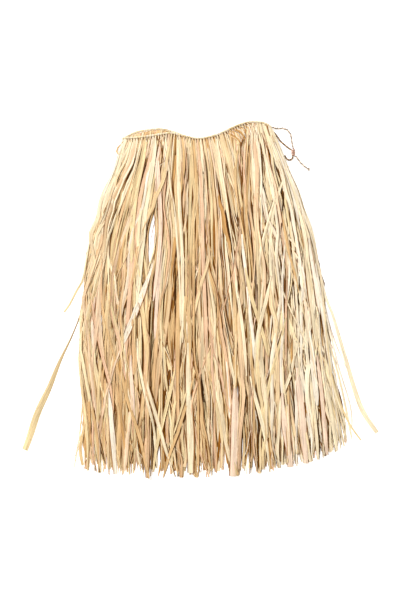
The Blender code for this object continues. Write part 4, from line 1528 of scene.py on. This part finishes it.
def add_band(grids, centre, along, hemward, lean, leaf, chance):
    """A flat band once round the cord."""
    angle = np.linspace(0, 2 * math.pi, BAND_STEPS)[:, None]
    out = np.cos(angle) * hemward + np.sin(angle) * np.array((0.0, 0.0, 1.0))
    line = centre + BAND_RADIUS * out + along * lean * np.sin(angle)
    points = np.stack([
        line + along * BAND_SPREAD * a + out * BAND_THICKNESS * b for a, b in BAND_SECTION
    ], axis=1)
    arc = np.array([a for a, _ in BAND_SECTION]) * BAND_SPREAD * MM
    arc = np.broadcast_to(arc, points.shape[:2])
    way = np.broadcast_to(angle * BAND_RADIUS * MM, points.shape[:2])
    uv = np.stack([arc.ravel(), way.ravel()], axis=1) + chance.uniform(0, 5, 2)
    quads = tube_quads(BAND_STEPS, len(BAND_SECTION))
    grids.add(points.reshape(-1, 3), quads, leaf, np.zeros(len(uv)), uv)


def add_hitch(grids, centre, along, hemward, chance):
    """Two bands over the cord and a bar across them."""
    leaf = pick_leaf(PALE.leaves, chance)
    for place in BAND_PLACES:
        lean = chance.uniform(-0.4, 0.4)
        add_band(grids, centre + along * place, along, hemward, lean, leaf, chance)
    t = np.linspace(-1, 1, BAR_STEPS)[:, None]
    bar = centre + along * BAR_HALF * t + hemward * (BAR_BELOW + BAR_BULGE * (1 - t**2))
    bar = bar + np.array((0.0, 0.0, BAR_RISE)) * (1 - BAR_DROOP * t**2)
    radii = np.full(BAR_STEPS, BAR_RADIUS) * chance.uniform(0.85, 1.15)
    add_tube(grids, bar, radii, leaf * BAR_SHADE, chance, sides=BAR_SIDES)


print("a hitch is", 2 * BAR_HALF, "mm wide")

# %% All hitches and the waist cord
Heading = namedtuple("Heading", "name waist first last hitches height node slot")
HEADINGS = (
    Heading("back_hitches", BACK_WAIST, 0.0, 1.0, BACK_HITCHES, 2.9,
            "back_panel", "raffia_back"),
    Heading("fold_hitch_loops", FOLD_WAIST, 0.0, 1.0, 1, 2.9,
            "fold_hitch", "raffia_stray"),
    Heading("front_hitches", FRONT_WAIST, 0.0, HUMP, FRONT_HITCHES, 9.4,
            "front_panel", "raffia_front"),
    Heading("overlap_hitches", FRONT_WAIST, HUMP, 1.0, OVERLAP_HITCHES, 12.2,
            "overlap_panel", "raffia_front"),
)
CORD_RADIUS = 1.3

for heading in HEADINGS:
    chance = np.random.default_rng(31)
    grids = Grids()
    ends = heading.waist.at(np.linspace(heading.first, heading.last, max(8, 2 * heading.hitches)))
    line = np.column_stack([ends, np.full(len(ends), heading.height)])
    add_tube(grids, line, np.full(len(line), CORD_RADIUS), LEAVES["straw"], chance)
    for hitch in range(heading.hitches):
        share = heading.first + (heading.last - heading.first) * (hitch + 0.5) / heading.hitches
        place, square = heading.waist.at(share), heading.waist.hemward(share)
        along = np.array((-square[1], square[0], 0.0))
        centre, hemward = np.array((*place, heading.height)), np.array((*square, 0.0))
        add_hitch(grids, centre, along, hemward, chance)
    piece = grids.make(heading.name, sharp=60)
    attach(piece, "root")
    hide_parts(heading.node)

# %% [markdown]
# ## The floor
#
# A product is shown on a sweep of white paper, lit so brightly that the paper
# is pure white. Paper is matte, so its roughness is 0.9. A light from one side
# leaves soft shadows on it. A glow of its own lifts these to nearly white, as a
# second row of lamps would, and hardly makes the skirt itself any brighter.

# %% Floor
FLOOR_HALF = 9
PAPER_WHITE, PAPER_GLOW = (0.9, 0.9, 0.9, 1), 0.55
corners = [(FLOOR_HALF * x, FLOOR_HALF * y, 0) for x, y in ((-1, -1), (1, -1), (1, 1), (-1, 1))]

floor_mesh = bpy.data.meshes.new("floor")
floor_mesh.from_pydata(corners, [], [(0, 1, 2, 3)])
floor = bpy.data.objects.new("floor", floor_mesh)
bpy.context.scene.collection.objects.link(floor)
paper, _, _ = new_material("white_paper_sweep", {
    "Roughness": 0.9, "Base Color": PAPER_WHITE, "Emission Color": (1, 1, 1, 1),
    "Emission Strength": PAPER_GLOW,
})
floor_mesh.materials.append(paper)
print("floor of", paper.name)

# %% [markdown]
# ## Light
#
# Strips look thin and separate when one side of each is lit and the other is
# in shade. So one small, strong, slightly cool key light stands at the upper
# left, as a lamp in a studio does. A warm, dim room light colours the shade
# between the strips brown, and a weak, wide fill from the right keeps the
# deepest gaps from going black. The standard view transform shows the leaf
# colours as they were mixed.

# %% Light
ROOM_COLOUR, ROOM_STRENGTH = (1, 0.91, 0.78, 1), 0.42

world = bpy.data.worlds.new("studio")
world.use_nodes = True
room = world.node_tree.nodes["Background"]
room.inputs["Color"].default_value = ROOM_COLOUR
room.inputs["Strength"].default_value = ROOM_STRENGTH
bpy.context.scene.world = world


def add_lamp(name, size, energy, colour, place, turn_degrees):
    """A square lamp, turned from one that shines straight down."""
    lamp = bpy.data.objects.new(name, bpy.data.lights.new(name, "AREA"))
    lamp.data.size = size
    lamp.data.energy = energy
    lamp.data.color = colour
    lamp.location = place
    lamp.rotation_euler = [math.radians(degrees) for degrees in turn_degrees]
    bpy.context.scene.collection.objects.link(lamp)
    print(f"{name}: {energy} W from {place}")


add_lamp("key", 1.2, 322, (0.96, 0.96, 1.0), (-2.6, 2.6, 4.4), (-30, -35, 0))
add_lamp("fill", 2.5, 22, (1.0, 1.0, 1.0), (3.0, 0.5, 3.0), (0, 45, 0))
bpy.context.scene.view_settings.view_transform = "Standard"
